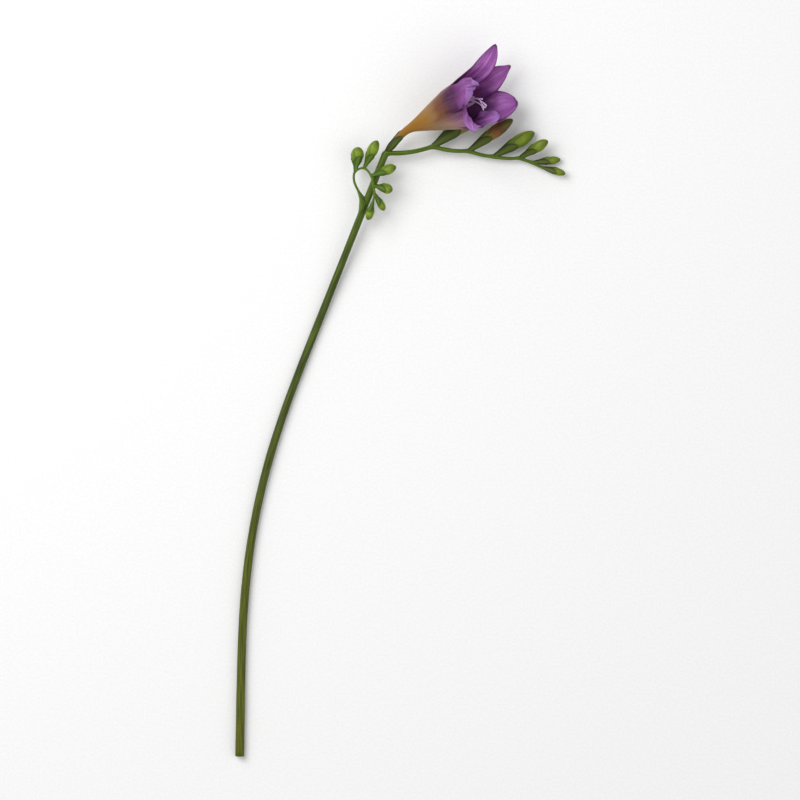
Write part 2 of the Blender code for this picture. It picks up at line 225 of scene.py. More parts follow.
@dataclass
class Surface:
    """A mesh in the making, with up to three UV maps.

    Attributes:
        name: The name of the object that it becomes.
        maps: The names of its UV maps.
        points: Its points.
        faces: Each face's four points, by number.
        corners: Each face's corners on each map.
        slots: Each face's material slot.
    """

    name: str
    maps: tuple[str, ...] = (MAP,)
    points: list = field(default_factory=list)
    faces: list = field(default_factory=list)
    corners: list = field(default_factory=list)
    slots: list = field(default_factory=list)

    def add_grid(self, grid: np.ndarray, places: Sequence[np.ndarray], slot: int = 0, flip: bool = False) -> None:
        """Adds a sheet of quads.

        Args:
            grid: Points of shape (rows, columns, 3).
            places: One array of shape (rows, columns, 2) for each UV map.
            slot: The material slot of these faces.
            flip: Whether the faces turn the other way.
        """
        rows, columns = grid.shape[:2]
        start = len(self.points)
        self.points.extend(grid.reshape(-1, 3).tolist())
        flat = [np.asarray(each, float).reshape(-1, 2).tolist() for each in places]
        for i in range(rows - 1):
            for j in range(columns - 1):
                a = i * columns + j
                quad = [a, a + 1, a + columns + 1, a + columns]
                if flip:
                    quad.reverse()
                self.faces.append([start + k for k in quad])
                self.corners.append([[each[k] for k in quad] for each in flat])
                self.slots.append(slot)

    def build(self, materials: Sequence[bpy.types.Material], weld: float = 1e-7) -> bpy.types.Object:
        """Makes the object, welded where points meet and shaded smooth.

        Args:
            materials: The object's material slots.
            weld: How near two points are made one.

        Returns:
            The new object, in the scene.
        """
        mesh = bpy.data.meshes.new(self.name)
        work = bmesh.new()
        spots = [work.verts.new(point) for point in self.points]
        layers = [work.loops.layers.uv.new(name) for name in self.maps]
        for corners, slot, face in zip(self.corners, self.slots, self.faces):
            made = work.faces.new([spots[k] for k in face])
            made.material_index = slot
            made.smooth = True
            for layer, values in zip(layers, corners):
                for loop, value in zip(made.loops, values):
                    loop[layer].uv = value
        bmesh.ops.remove_doubles(work, verts=work.verts, dist=weld)
        flat = [face for face in work.faces if face.calc_area() < SPECK]
        bmesh.ops.delete(work, geom=flat, context="FACES_ONLY")
        work.to_mesh(mesh)
        work.free()
        obj = bpy.data.objects.new(self.name, mesh)
        bpy.context.scene.collection.objects.link(obj)
        for each in materials:
            mesh.materials.append(each)
        return obj


def grid_of(rows: int, columns: int) -> tuple[np.ndarray, np.ndarray]:
    """Coordinates across and along a sheet, each from 0 to 1, of shape (rows, columns)."""
    along, across = np.meshgrid(np.linspace(0, 1, rows), np.linspace(0, 1, columns), indexing="ij")
    return across, along


def thicken(obj: bpy.types.Object, thickness: float, inner_slot: int = 0) -> None:
    """Gives a sheet its thickness.

    Args:
        obj: The sheet.
        thickness: In metres; a sheet with its faces out grows inwards.
        inner_slot: How many slots further on the inner side's material is.
    """
    wall = obj.modifiers.new("wall", "SOLIDIFY")
    wall.thickness = thickness
    wall.offset = -1.0
    wall.use_even_offset = False
    wall.material_offset = inner_slot


def sheath_of(name: str, grid: np.ndarray, skin: bpy.types.Material, thickness: float) -> bpy.types.Object:
    """A thin sheath or leaf, with its map across it and along it.

    Args:
        name: Its name.
        grid: Its outer side, of shape (rows, columns, 3), from its foot to its point.
        skin: Its material.
        thickness: In metres.

    Returns:
        The new object.
    """
    surface = Surface(name)
    surface.add_grid(grid, [np.stack(grid_of(*grid.shape[:2]), -1)])
    sheath = surface.build([skin])
    thicken(sheath, thickness)
    return sheath


def settle(obj: bpy.types.Object, slot: str, *nodes: str) -> bpy.types.Object:
    """Ties a finished piece to the frame.

    Args:
        obj: The piece.
        slot: The record's material slot; not used.
        nodes: The solids that it stands for.

    Returns:
        The piece.
    """
    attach(obj, ROOT)
    if nodes:
        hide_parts(*nodes)
    LOG.info("%s stands for %s", obj.name, ", ".join(nodes) or "a detail")
    return obj


# Materials. In a skin, a pattern starts to show and shows in full at the first two numbers of its span, and the last
# two say how strongly it shows there.


class Board:
    """A material's node tree, written a node at a time."""

    def __init__(self, name: str) -> None:
        """Starts a material with its own shader.

        Args:
            name: The material's name.
        """
        self.material = bpy.data.materials.new(name)
        self.material.use_nodes = True
        self.tree = self.material.node_tree
        self.shader = self.tree.nodes["Principled BSDF"]

    def put(self, node: bpy.types.Node, values: dict) -> bpy.types.Node:
        """Fills a node's inputs.

        Args:
            node: The node.
            values: For each input, by name or number, a number, a colour or another node's output.

        Returns:
            The node.
        """
        for key, value in values.items():
            socket = node.inputs[key]
            if isinstance(value, bpy.types.NodeSocket):
                self.tree.links.new(value, socket)
            elif isinstance(value, tuple) and len(value) == 3 and len(socket.default_value) == 4:
                socket.default_value = (*value, 1.0)
            else:
                socket.default_value = value
        return node

    def add(self, kind: str, values: dict | None = None, **settings: str) -> bpy.types.Node:
        """Adds a node.

        Args:
            kind: Its type.
            values: Its inputs, as in put.
            settings: Its own settings.

        Returns:
            The node.
        """
        node = self.tree.nodes.new(kind)
        for key, value in settings.items():
            setattr(node, key, value)
        return self.put(node, values or {})

    def place(self, name: str = MAP) -> tuple[Socket, Socket, Socket]:
        """Reads a UV map.

        Args:
            name: The map's name.

        Returns:
            Its vector, and its two coordinates.
        """
        vector = self.add("ShaderNodeUVMap", uv_map=name).outputs[0]
        parts = self.add("ShaderNodeSeparateXYZ", {0: vector})
        return vector, parts.outputs[0], parts.outputs[1]

    def sum(self, operation: str, first: Socket, second: Socket | float = 0.0, third: float = 0.0) -> Socket:
        """One sum of two numbers or outputs, or of three."""
        return self.add("ShaderNodeMath", {0: first, 1: second, 2: third}, operation=operation).outputs[0]

    def times(self, first: Socket, second: Socket | float) -> Socket:
        """The product of two numbers or outputs."""
        return self.sum("MULTIPLY", first, second)

    def off(self, place: Socket, middle: float) -> Socket:
        """How far a coordinate is from the middle, on either side."""
        return self.sum("ABSOLUTE", self.sum("SUBTRACT", place, middle))

    def noise(
        self, vector: Socket, x: float, y: float, detail: float = 3.0, rough: float = 0.5, scale: float = 1.0
    ) -> Socket:
        """Soft noise from 0 to 1, finer along one axis than along the other.

        Args:
            vector: Where to read it.
            x: How fine it is along the vector's first coordinate.
            y: How fine it is along the second.
            detail: How many finer layers it has.
            rough: How strong they are.
            scale: How fine it all is.

        Returns:
            The noise.
        """
        drawn = self.add("ShaderNodeMapping", {"Vector": vector, "Scale": (x, y, 1.0)}).outputs[0]
        values = {"Vector": drawn, "Scale": scale, "Detail": detail, "Roughness": rough}
        return self.add("ShaderNodeTexNoise", values).outputs[0]

    def span(self, value: Socket, low: float, high: float, to_low: float = 0.0, to_high: float = 1.0) -> Socket:
        """The value from one range spread over another, and held there."""
        values = {"Value": value, 1: low, 2: high, 3: to_low, 4: to_high}
        return self.add("ShaderNodeMapRange", values, interpolation_type="SMOOTHSTEP").outputs[0]

    def ramp(self, value: Socket, stops: Stops) -> Socket:
        """A colour by where the value falls between the stops.

        Args:
            value: The value, from 0 to 1.
            stops: Places and their colours.

        Returns:
            The colour.
        """
        node = self.add("ShaderNodeValToRGB", {0: value})
        band = node.color_ramp
        while len(band.elements) < len(stops):
            band.elements.new(0.5)
        for element, (spot, colour) in zip(band.elements, stops):
            element.position = spot
            element.color = (*colour, 1.0)
        return node.outputs[0]

    def blend(self, share: Socket, first: Socket | Colour, second: Socket | Colour) -> Socket:
        """One colour with the second laid over it by that share."""
        return self.add("ShaderNodeMix", {0: share, 6: first, 7: second}, data_type="RGBA").outputs[2]

    def raise_by(self, height: Socket, depth: float, strength: float) -> None:
        """Gives the surface that relief, of that many metres."""
        bump = self.add("ShaderNodeBump", {"Height": height, "Strength": strength, "Distance": depth})
        self.tree.links.new(bump.outputs[0], self.shader.inputs["Normal"])

    def finish(self, colour: Socket, roughness: Socket | float, **constants: float) -> bpy.types.Material:
        """Ends the material.

        Args:
            colour: The base colour.
            roughness: A number or an output.
            constants: Other inputs of the shader, with underscores for spaces.

        Returns:
            The material.
        """
        self.put(self.shader, {"Base Color": colour, "Roughness": roughness})
        for key, value in constants.items():
            self.shader.inputs[key.replace("_", " ")].default_value = value
        return self.material


@dataclass(frozen=True)
class StalkSkin:
    """The skin of a stalk: fine paler streaks along it, and mottling.

    Attributes:
        name: The material's name.
        dark: Its shaded green.
        light: Its lit green.
        foot: The olive green at its lower end.
        top: The fresher green at its upper end.
        foot_fades: Where the olive fades out, in tenths of a metre.
        top_comes: Where the fresher green comes in.
    """

    name: str
    dark: Colour
    light: Colour
    foot: Colour
    top: Colour
    foot_fades: tuple[float, float] = (0.2, 2.2)
    top_comes: tuple[float, float] = (2.3, 3.1)

    def build(self) -> bpy.types.Material:
        """Makes the material.

        Returns:
            The material; its map runs round the stalk across and along it in tenths of a metre.
        """
        board = Board(self.name)
        vector, _, along = board.place()
        streaks = board.noise(vector, 26, 6, 4)
        blotches = board.noise(vector, 2.5, 5)
        base = board.blend(board.span(streaks, 0.36, 0.66), self.dark, self.light)
        base = board.blend(board.span(blotches, 0.35, 0.75, 0.0, 0.5), base, self.dark)
        tint = board.span(streaks, 0.4, 0.6, 0.3, 0.8)
        base = board.blend(board.times(board.span(along, *self.foot_fades, 1.0, 0.0), tint), base, self.foot)
        base = board.blend(board.times(board.span(along, *self.top_comes), tint), base, self.top)
        board.raise_by(streaks, 0.12 * MM, 0.6)
        return board.finish(base, board.span(streaks, 0.3, 0.7, 0.55, 0.4), Specular_IOR_Level=0.22)


@dataclass(frozen=True)
class SheathSkin:
    """A bract's skin: close veins, a painted highlight along the keel, painted shade towards the sides, a thin dry
    edge and a brown point.

    Attributes:
        name: The material's name.
        dark: Its shaded green, between the veins and towards the edges.
        light: Its lit green, on the veins and the keel.
        edge: The colour of its dry edge.
        point: The colour of its point.
    """

    name: str
    dark: Colour
    light: Colour
    edge: Colour
    point: Colour

    def build(self) -> bpy.types.Material:
        """Makes the material.

        Returns:
            The material; its map runs across the sheath and from its foot to its point.
        """
        board = Board(self.name)
        vector, across, along = board.place()
        off_keel = board.off(across, 0.5)
        veins = board.noise(vector, 34, 1.6)
        patches = board.noise(vector, 3, 3, 2)
        base = board.blend(board.span(veins, 0.35, 0.68), self.dark, self.light)
        base = board.blend(board.span(patches, 0.4, 0.8, 0.0, 0.6), base, self.dark)
        # A painted highlight along the keel, then painted shade towards the sheath's sides.
        base = board.blend(board.span(off_keel, 0.05, 0.3, 0.75, 0.0), base, self.light)
        base = board.blend(board.span(off_keel, 0.28, 0.46, 0.0, 0.7), base, self.dark)
        rim = board.times(board.span(off_keel, 0.45, 0.5), board.span(along, 0.2, 0.5, 0.0, 0.5))
        base = board.blend(rim, base, self.edge)
        base = board.blend(board.span(along, 0.88, 1.0, 0.0, 0.85), base, self.point)
        board.raise_by(veins, 0.1 * MM, 0.6)
        return board.finish(base, board.span(veins, 0.3, 0.7, 0.55, 0.42), Specular_IOR_Level=0.26)


@dataclass(frozen=True)
class BudSkin:
    """A closed bud's skin: folded petals with seams, coloured from its foot to its tip.

    Attributes:
        name: The material's name.
        stops: Its colours from foot to tip.
        seam: The colour of the seams and veins.
        gloss: The roughness of its smoothest places.
    """

    name: str
    stops: Stops
    seam: Colour
    gloss: float = 0.4

    def build(self) -> bpy.types.Material:
        """Makes the material.

        Returns:
            The material; its map runs once round the bud across and from its foot to its tip.
        """
        board = Board(self.name)
        vector, across, along = board.place()
        veins = board.noise(vector, 30, 1.3)
        patches = board.noise(vector, 5, 4)
        base = board.ramp(board.sum("ADD", along, board.span(patches, 0.3, 0.7, -0.06, 0.06)), self.stops)
        base = board.blend(board.span(veins, 0.42, 0.72, 0.0, 0.4), base, self.seam)
        petal = board.sum("FRACT", board.sum("ADD", board.times(across, 3.0), board.times(along, BUD_TWIST)))
        line = board.times(board.span(petal, 0.86, 1.0), board.span(along, 0.3, 0.5))
        base = board.blend(board.times(line, 0.75), base, self.seam)
        board.raise_by(veins, 0.12 * MM, 0.5)
        roughness = board.span(veins, 0.3, 0.7, self.gloss + 0.1, self.gloss)
        return board.finish(base, roughness, Specular_IOR_Level=0.28)


@dataclass(frozen=True)
class PetalSkin:
    """The open flower's skin, from the foot of its tube to its lobes' tips, with veins and darker margins.

    Attributes:
        name: The material's name.
        stops: Its colours from the foot to the tips.
        vein: The colour of its veins.
        margin: The colour of the lobes' edges.
        bloom: The paler colour that patches the lobes.
        front: The paler colour of the three near lobes towards their tips.
        veins: How strong the veins are.
        bloom_share: How strong the patches are.
        flush: A darker band on the throat's upper side, part own flush, part painted shade, or nothing.
        flush_and_shade_angle: The middle of that band, in radians round the tube.
    """

    name: str
    stops: Stops
    vein: Colour
    margin: Colour
    bloom: Colour
    front: Colour
    veins: float
    bloom_share: float
    flush: Stops = ()
    flush_and_shade_angle: float = 1.22

    def build(self) -> bpy.types.Material:
        """Makes the material.

        Returns:
            The material; it reads the length map, the lobe map and the map round the tube.
        """
        board = Board(self.name)
        vector, across, along = board.place()
        in_lobe = board.place(LOBE_MAP)[2]
        round_vector, round_share, _ = board.place(ROUND_MAP)
        cloud = board.noise(round_vector, 9, 1.4)
        veins = board.noise(vector, 26, 2.4, 3, 0.6)
        patches = board.noise(vector, 5, 7, 4)
        shifted = board.sum("ADD", along, board.span(cloud, 0.3, 0.7, -0.025, 0.025))
        base = board.ramp(shifted, self.stops)
        base = board.blend(board.span(veins, 0.46, 0.68, 0.0, self.veins), base, self.vein)
        past_throat = board.span(along, 0.6, 0.75, 0.0, self.bloom_share)
        base = board.blend(board.times(board.span(patches, 0.42, 0.72), past_throat), base, self.bloom)
        if self.flush:
            # A darker band on the throat's upper side: partly the tube's own brownish flush, partly painted shade.
            turn = board.sum("COSINE", board.sum("MULTIPLY_ADD", round_share, 2 * math.pi, -self.flush_and_shade_angle))
            band = board.times(board.span(shifted, 0.37, 0.46), board.span(shifted, 0.76, 0.94, 1.0, 0.0))
            uneven = board.span(veins, 0.3, 0.7, 0.85, 1.0)
            share = board.times(board.times(board.span(turn, 0.5, 0.93), band), uneven)
            base = board.blend(share, base, board.ramp(shifted, self.flush))
        else:
            # Darker by the seam at DARK_SEAM, towards the lobes' bases.
            by_seam = board.span(board.off(round_share, DARK_SEAM), 0.03, 0.12, 0.95, 0.0)
            seam_darkening = board.times(by_seam, board.span(in_lobe, 0.42, 0.78, 1.0, 0.0))
            base = board.blend(seam_darkening, base, self.margin)
        in_front = board.span(round_share, FRONT_ENDS - 0.01, FRONT_ENDS + 0.01, 1.0, 0.0)
        base = board.blend(board.times(in_front, board.span(in_lobe, 0.55, 1.0, 0.0, 0.6)), base, self.front)
        rim = board.times(board.span(board.off(across, 0.5), 0.41, 0.5), board.span(in_lobe, 0.05, 0.3, 0.0, 0.85))
        edge = board.sum("MAXIMUM", rim, board.span(in_lobe, 0.93, 1.0, 0.0, 0.7))
        edge = board.times(edge, board.sum("MULTIPLY_ADD", in_front, -0.75, 1.0))
        base = board.blend(edge, base, self.margin)
        board.raise_by(veins, 0.18 * MM, 0.5)
        roughness = board.span(veins, 0.3, 0.7, 0.6, 0.46)
        gloss = {"Specular_IOR_Level": 0.22, "Sheen_Weight": 0.08, "Sheen_Roughness": 0.45}
        return board.finish(base, roughness, Subsurface_Weight=0.12, Subsurface_Scale=2 * MM, **gloss)


@dataclass(frozen=True)
class FineSkin:
    """A small soft piece's skin, grained lengthwise.

    Attributes:
        name: The material's name.
        first: One of its two colours.
        second: The other one.
        roughness: The roughness of its smoothest places.
    """

    name: str
    first: Colour
    second: Colour
    roughness: float = 0.5

    def build(self) -> bpy.types.Material:
        """Makes the material.

        Returns:
            The material; its map runs across and along the piece.
        """
        board = Board(self.name)
        grain = board.noise(board.place()[0], 14, 6)
        base = board.blend(board.span(grain, 0.3, 0.7), self.first, self.second)
        board.raise_by(grain, 0.06 * MM, 0.6)
        return board.finish(base, board.span(grain, 0.3, 0.7, self.roughness + 0.08, self.roughness))


@dataclass(frozen=True)
class CutFace:
    """The cut end of the stem: pale pith, a ring of bundles and a green rind.

    Attributes:
        name: The material's name.
        stops: Its colours from the rind to the middle.
        cell: The colour of its darker cells.
    """

    name: str
    stops: Stops
    cell: Colour

    def build(self) -> bpy.types.Material:
        """Makes the material.

        Returns:
            The material; its map's second coordinate runs from the rind to the middle.
        """
        board = Board(self.name)
        vector, _, inwards = board.place()
        cells = board.noise(vector, 30, 12, 2)
        base = board.ramp(inwards, self.stops)
        base = board.blend(board.span(cells, 0.5, 0.75, 0.0, 0.5), base, self.cell)
        board.raise_by(cells, 0.1 * MM, 0.7)
        return board.finish(base, board.span(cells, 0.3, 0.7, 0.5, 0.35), Specular_IOR_Level=0.5)


STEM_SKIN = StalkSkin(
    "stem_skin", (0.022, 0.036, 0.0015), (0.085, 0.125, 0.005), (0.12, 0.125, 0.004), (0.11, 0.19, 0.01)
)
SHOOT_SKIN = StalkSkin("shoot_skin", (0.06, 0.12, 0.005), (0.2, 0.3, 0.015), (0.07, 0.14, 0.006), (0.2, 0.3, 0.015))
OVARY_SKIN = StalkSkin(
    "ovary_skin", (0.03, 0.06, 0.004), (0.08, 0.14, 0.008), (0.04, 0.08, 0.005), (0.08, 0.14, 0.008)
)
BRACT_SKIN = SheathSkin(
    "bract_skin", (0.009, 0.019, 0.0015), (0.085, 0.12, 0.006), (0.12, 0.15, 0.015), (0.07, 0.06, 0.008)
)
FLOWER_BRACT_SKIN = SheathSkin(
    "flower_bract_skin", (0.009, 0.019, 0.0015), (0.07, 0.1, 0.006), (0.12, 0.14, 0.015), (0.12, 0.09, 0.012)
)
SHOOT_BRACT_SKIN = SheathSkin(
    "shoot_bract_skin", (0.014, 0.042, 0.002), (0.1, 0.19, 0.009), (0.18, 0.26, 0.02), (0.09, 0.1, 0.01)
)
LEAF_SKIN = SheathSkin("leaf_skin", (0.03, 0.062, 0.003), (0.13, 0.2, 0.01), (0.2, 0.28, 0.03), (0.22, 0.18, 0.03))
GREEN_BUD_SKIN = BudSkin(
    "green_bud_skin",
    (
        (0.0, (0.04, 0.075, 0.005)), (0.35, (0.1, 0.16, 0.008)), (0.75, (0.19, 0.26, 0.012)),
        (1.0, (0.08, 0.12, 0.006)),
    ),
    (0.02, 0.045, 0.003),
)
OLIVE_BUD_SKIN = BudSkin(
    "olive_bud_skin",
    (
        (0.0, (0.05, 0.09, 0.006)), (0.42, (0.17, 0.21, 0.012)), (0.6, (0.25, 0.095, 0.025)),
        (0.74, (0.13, 0.055, 0.015)), (0.88, (0.11, 0.1, 0.012)), (1.0, (0.05, 0.06, 0.006)),
    ),
    (0.05, 0.03, 0.008),
)
VIOLET_BUD_SKIN = BudSkin(
    "violet_bud_skin",
    (
        (0.0, (0.08, 0.12, 0.01)), (0.42, (0.22, 0.22, 0.02)), (0.57, (0.3, 0.16, 0.1)),
        (0.75, (0.24, 0.07, 0.26)), (1.0, (0.1, 0.02, 0.12)),
    ),
    (0.08, 0.01, 0.09),
)
SHOOT_BUD_SKIN = BudSkin(
    "shoot_bud_skin",
    (
        (0.0, (0.04, 0.09, 0.004)), (0.4, (0.12, 0.2, 0.008)), (0.75, (0.22, 0.31, 0.015)),
        (1.0, (0.06, 0.11, 0.005)),
    ),
    (0.025, 0.06, 0.003),
)
OUTER_PETAL_SKIN = PetalSkin(
    "outer_petal_skin",
    stops=(
        (0.0, (0.1, 0.13, 0.01)), (0.08, (0.25, 0.125, 0.004)), (0.16, (0.3, 0.135, 0.003)),
        (0.28, (0.31, 0.145, 0.005)), (0.37, (0.3, 0.155, 0.025)), (0.43, (0.28, 0.165, 0.08)),
        (0.5, (0.33, 0.2, 0.13)), (0.58, (0.33, 0.17, 0.2)), (0.7, (0.25, 0.085, 0.26)),
        (0.82, (0.26, 0.08, 0.31)), (1.0, (0.2, 0.05, 0.23)),
    ),
    vein=(0.1, 0.016, 0.1),
    margin=(0.06, 0.006, 0.075),
    bloom=(0.38, 0.16, 0.44),
    front=(0.4, 0.18, 0.48),
    veins=0.45,
    bloom_share=0.45,
    # The band's colours, partly the tube's own brownish flush and partly painted shade.
    flush=(
        (0.38, (0.26, 0.12, 0.012)), (0.45, (0.16, 0.055, 0.02)), (0.53, (0.09, 0.024, 0.024)),
        (0.6, (0.05, 0.006, 0.035)), (0.69, (0.06, 0.005, 0.055)), (0.8, (0.17, 0.035, 0.19)),
    ),
)
INNER_PETAL_SKIN = PetalSkin(
    "inner_petal_skin",
    # Dark from the throat into the lobes' bases: partly the flower's own deep violet, partly painted shade cast into
    # the mouth.
    stops=(
        (0.0, (0.3, 0.22, 0.05)), (0.25, (0.35, 0.2, 0.08)), (0.38, (0.09, 0.012, 0.09)),
        (0.5, (0.045, 0.002, 0.06)), (0.62, (0.045, 0.001, 0.06)), (0.71, (0.08, 0.005, 0.1)),
        (0.78, (0.19, 0.04, 0.22)), (0.86, (0.32, 0.1, 0.38)), (0.94, (0.3, 0.092, 0.36)),
        (1.0, (0.24, 0.065, 0.28)),
    ),
    vein=(0.07, 0.004, 0.085),
    margin=(0.05, 0.003, 0.065),
    bloom=(0.48, 0.21, 0.55),
    front=(0.48, 0.24, 0.66),
    veins=0.6,
    bloom_share=0.5,
)
FILAMENT_SKIN = FineSkin("filament_skin", (0.3, 0.12, 0.34), (0.45, 0.24, 0.48))
ANTHER_SKIN = FineSkin("anther_skin", (0.26, 0.12, 0.28), (0.48, 0.32, 0.46), 0.65)
STYLE_SKIN = FineSkin("style_skin", (0.58, 0.32, 0.62), (0.78, 0.58, 0.8))
CUT_SKIN = CutFace(
    "cut_face",
    ((0.0, (0.12, 0.2, 0.05)), (0.14, (0.3, 0.4, 0.14)), (0.3, (0.5, 0.56, 0.3)), (1.0, (0.6, 0.62, 0.42))),
    (0.28, 0.34, 0.12),
)


# Tubes


@dataclass(frozen=True)
class Cap:
    """The low dome that closes a tube's end.

    Attributes:
        bulge: How far its middle stands out, in metres.
        rings: How many rings it has.
        slot: Its material slot.
    """

    bulge: float
    rings: int
    slot: int = 0

    def close(self, surface: Surface, ring: np.ndarray, way: np.ndarray, flip: bool) -> None:
        """Closes a tube's end.

        Args:
            surface: The mesh in the making.
            ring: The end's ring of points.
            way: The way that the end faces, a unit vector.
            flip: Whether the faces turn the other way, as at a tube's foot.
        """
        middle = ring[:-1].mean(0)
        bulge = way * self.bulge
        inwards = np.linspace(0, 1, self.rings + 1)[:, None, None]
        dome = ring * (1 - inwards) + (middle + bulge) * inwards + bulge * (np.sqrt(1 - (1 - inwards) ** 2) - inwards)
        across = np.linspace(0, 1, len(ring))[None]
        place = np.stack(np.broadcast_arrays(across, inwards[:, :, 0]), -1)
        surface.add_grid(dome, [place] * len(surface.maps), self.slot, flip)


@dataclass
class Tube:
    """A round stalk or rod along a line, with both its ends closed.

    Attributes:
        name: The name of the object that it becomes.
        line: Its middle line.
        radii: Its radius at each point of the line.
        sides: How many points there are to a ring.
        caps: The domes at its foot and its tip.
        ridges: How many low ridges run along it.
        depth: The ridges' height, as a share of the radius.
        scale: How far its map runs along it for a metre.
    """

    name: str
    line: Line
    radii: np.ndarray
    sides: int
    caps: tuple[Cap, Cap]
    ridges: int = 0
    depth: float = 0.0
    scale: float = 10.0

    def build(self, materials: Sequence[bpy.types.Material]) -> bpy.types.Object:
        """Builds the tube.

        Args:
            materials: The object's material slots.

        Returns:
            The new object, in the scene.
        """
        forward, left, upper = self.line.frames()
        angle = np.linspace(0, 2 * np.pi, self.sides + 1)
        angle[-1] = 0.0
        radii = self.radii[:, None] * (1 + self.depth * np.cos(self.ridges * angle))
        grid = self.line.points[:, None] + turned(left[:, None], upper[:, None], angle[None]) * radii[:, :, None]
        across, along = np.meshgrid(np.linspace(0, 1, self.sides + 1), self.line.reach * self.scale)
        surface = Surface(self.name)
        surface.add_grid(grid, [np.stack([across, along], -1)])
        foot, tip = self.caps
        foot.close(surface, grid[0], -forward[0], True)
        tip.close(surface, grid[-1], forward[-1], False)
        return surface.build(materials)


# The plant


@dataclass
class Stem:
    """The stem from its cut end to the spike's tip, with its nodes.

    Attributes:
        length: From the cut end to the bend.
        radius_cut: At the cut end.
        radius_bend: At the bend.
        lean: Degrees from +Y at the cut end and at the top.
        lean_over: Where the lean changes.
        lift: How far the stem's middle rises towards the bend.
        lift_starts: Where it starts to rise.
        internodes: The spike's internodes, each (length in mm, heading).
        spike_radii: The spike's radius at the bend and at its tip.
        sag: How far each internode bows, as a share of its length.
        drop: Degrees that the spike slopes down.
        flat: The height of the middle of the stalk where it lies on the table, as a share of its radius.
        steps: How many straight steps the stalk is worked out in.
        fine_from: How far before the bend the rings get closer.
        ring_gaps: The distance between rings before that and after it.
        swell: How much thicker a node is, and how far its swelling spreads.
        waves: The stem's unevenness, each (share of the radius, pace, start).
        rounding: The step and the width of the rounding of its corners.
        ridges: How many low ridges run along it, and their height as a share of the radius.
    """

    length: float = 307 * MM
    radius_cut: float = 2.15 * MM
    radius_bend: float = 1.65 * MM
    lean: tuple[float, float] = (1.0, 21.7)
    lean_over: tuple[float, float] = (30 * MM, 210 * MM)
    lift: float = 6.3 * MM
    lift_starts: float = 205 * MM
    internodes: tuple = ((23.4, 8.0), (17.8, -6.8), (12.5, -12.8), (12.9, -2.6), (6.8, -20.0), (5.4, -28.0))
    spike_radii: tuple[float, float] = (1.2 * MM, 0.66 * MM)
    sag: float = 0.055
    drop: float = 3.7
    flat: float = math.cos(math.pi / 10)
    steps: int = 41
    fine_from: float = 18 * MM
    ring_gaps: tuple[float, float] = (2.5 * MM, 0.5 * MM)
    swell: tuple[float, float] = (0.3 * MM, 1.7 * MM)
    waves: tuple = ((0.012, 95.0, 0.0), (0.008, 260.0, 1.0))
    rounding: tuple[float, float] = (0.3 * MM, 0.8 * MM)
    ridges: tuple[int, float] = (6, 0.022)

    def radius(self, distance: Level) -> Level:
        """The stalk's radius below the bend."""
        return self.radius_cut + (self.radius_bend - self.radius_cut) * distance / self.length

    def stalk(self) -> np.ndarray:
        """Works out the stalk's middle line.

        Returns:
            Its points, from the cut end to the bend.
        """
        step = self.length / self.steps
        middles = (np.arange(self.steps) + 0.5) * step
        lean = np.radians(self.lean[0] + (self.lean[1] - self.lean[0]) * ease(middles, *self.lean_over))
        x = CUT_END[0] + np.concatenate([[0], np.cumsum(step * np.sin(lean))])
        y = CUT_END[1] + np.concatenate([[0], np.cumsum(step * np.cos(lean))])
        reached = np.arange(self.steps + 1) * step
        z = self.radius(reached) * self.flat + self.lift * ease(reached, self.lift_starts, self.length)
        return np.stack([x, y, z], -1)

    def nodes(self) -> np.ndarray:
        """Works out where the spike's nodes are.

        Returns:
            The nodes, from the bend to the spike's tip.
        """
        spots = [self.stalk()[-1]]
        for length, heading in self.internodes:
            spots.append(spots[-1] + direction(heading, -self.drop) * length * MM)
        return np.array(spots)

    def line(self) -> Line:
        """Works out the whole of the stem's middle line.

        Returns:
            The line from the cut end to the spike's tip, its corners eased.
        """
        points = [self.stalk()]
        nodes = self.nodes()
        t = np.arange(1, 11)[:, None] / 10
        for start, end in zip(nodes, nodes[1:]):
            bow = side_axes(unit(end - start))[0] * self.sag * np.linalg.norm(end - start)
            points.append(start + (end - start) * t - bow * 4 * t * (1 - t))
        fine = Line(np.concatenate(points)).rounded(*self.rounding)
        end = fine.reach[-1]
        bend = self.length - self.fine_from
        wide, close = self.ring_gaps
        return Line(fine.at(np.concatenate([np.arange(0, bend, wide), np.arange(bend, end, close), [end]])))

    def build(self) -> None:
        """Builds and dresses the stem."""
        line = self.line()
        reach = line.reach
        past = np.clip((reach - self.length) / (reach[-1] - self.length), 0, 1)
        spike = self.spike_radii[0] + (self.spike_radii[1] - self.spike_radii[0]) * past
        radii = np.where(reach < self.length, self.radius(reach), spike)
        radii = np.convolve(np.pad(radii, 4, "edge"), np.ones(9) / 9, "valid")
        for spot in self.nodes()[:-1]:
            radii = radii + self.swell[0] * hump(reach, line.nearest(spot), self.swell[1])
        radii = radii * (1 + sum(height * np.sin(reach * pace + start) for height, pace, start in self.waves))
        line.points[:, 2] += np.maximum(radii - line.points[:, 2], 0)
        caps = (Cap(0.25 * MM, 6, 1), Cap(0.5 * MM, 4))
        tube = Tube("stem_and_spike", line, radii, 24, caps, *self.ridges)
        settle(tube.build([STEM_SKIN.build(), CUT_SKIN.build()]), "stem_green", "stem")


@dataclass(frozen=True)
class BudShape:
    """One closed bud and its sheaths, in millimetres and degrees.

    Attributes:
        name: The bud's solid.
        length: From its node to its tip.
        radius: At its widest.
        heading: Which way it points.
        rise: How far it lifts off the table.
        share: How much of it the outer sheath covers.
        seat: The distance from its node to its foot.
        stalk_radius: The radius of the stalk that it sits on.
    """

    name: str
    length: float
    radius: float
    heading: float
    rise: float
    share: float
    seat: float
    stalk_radius: float


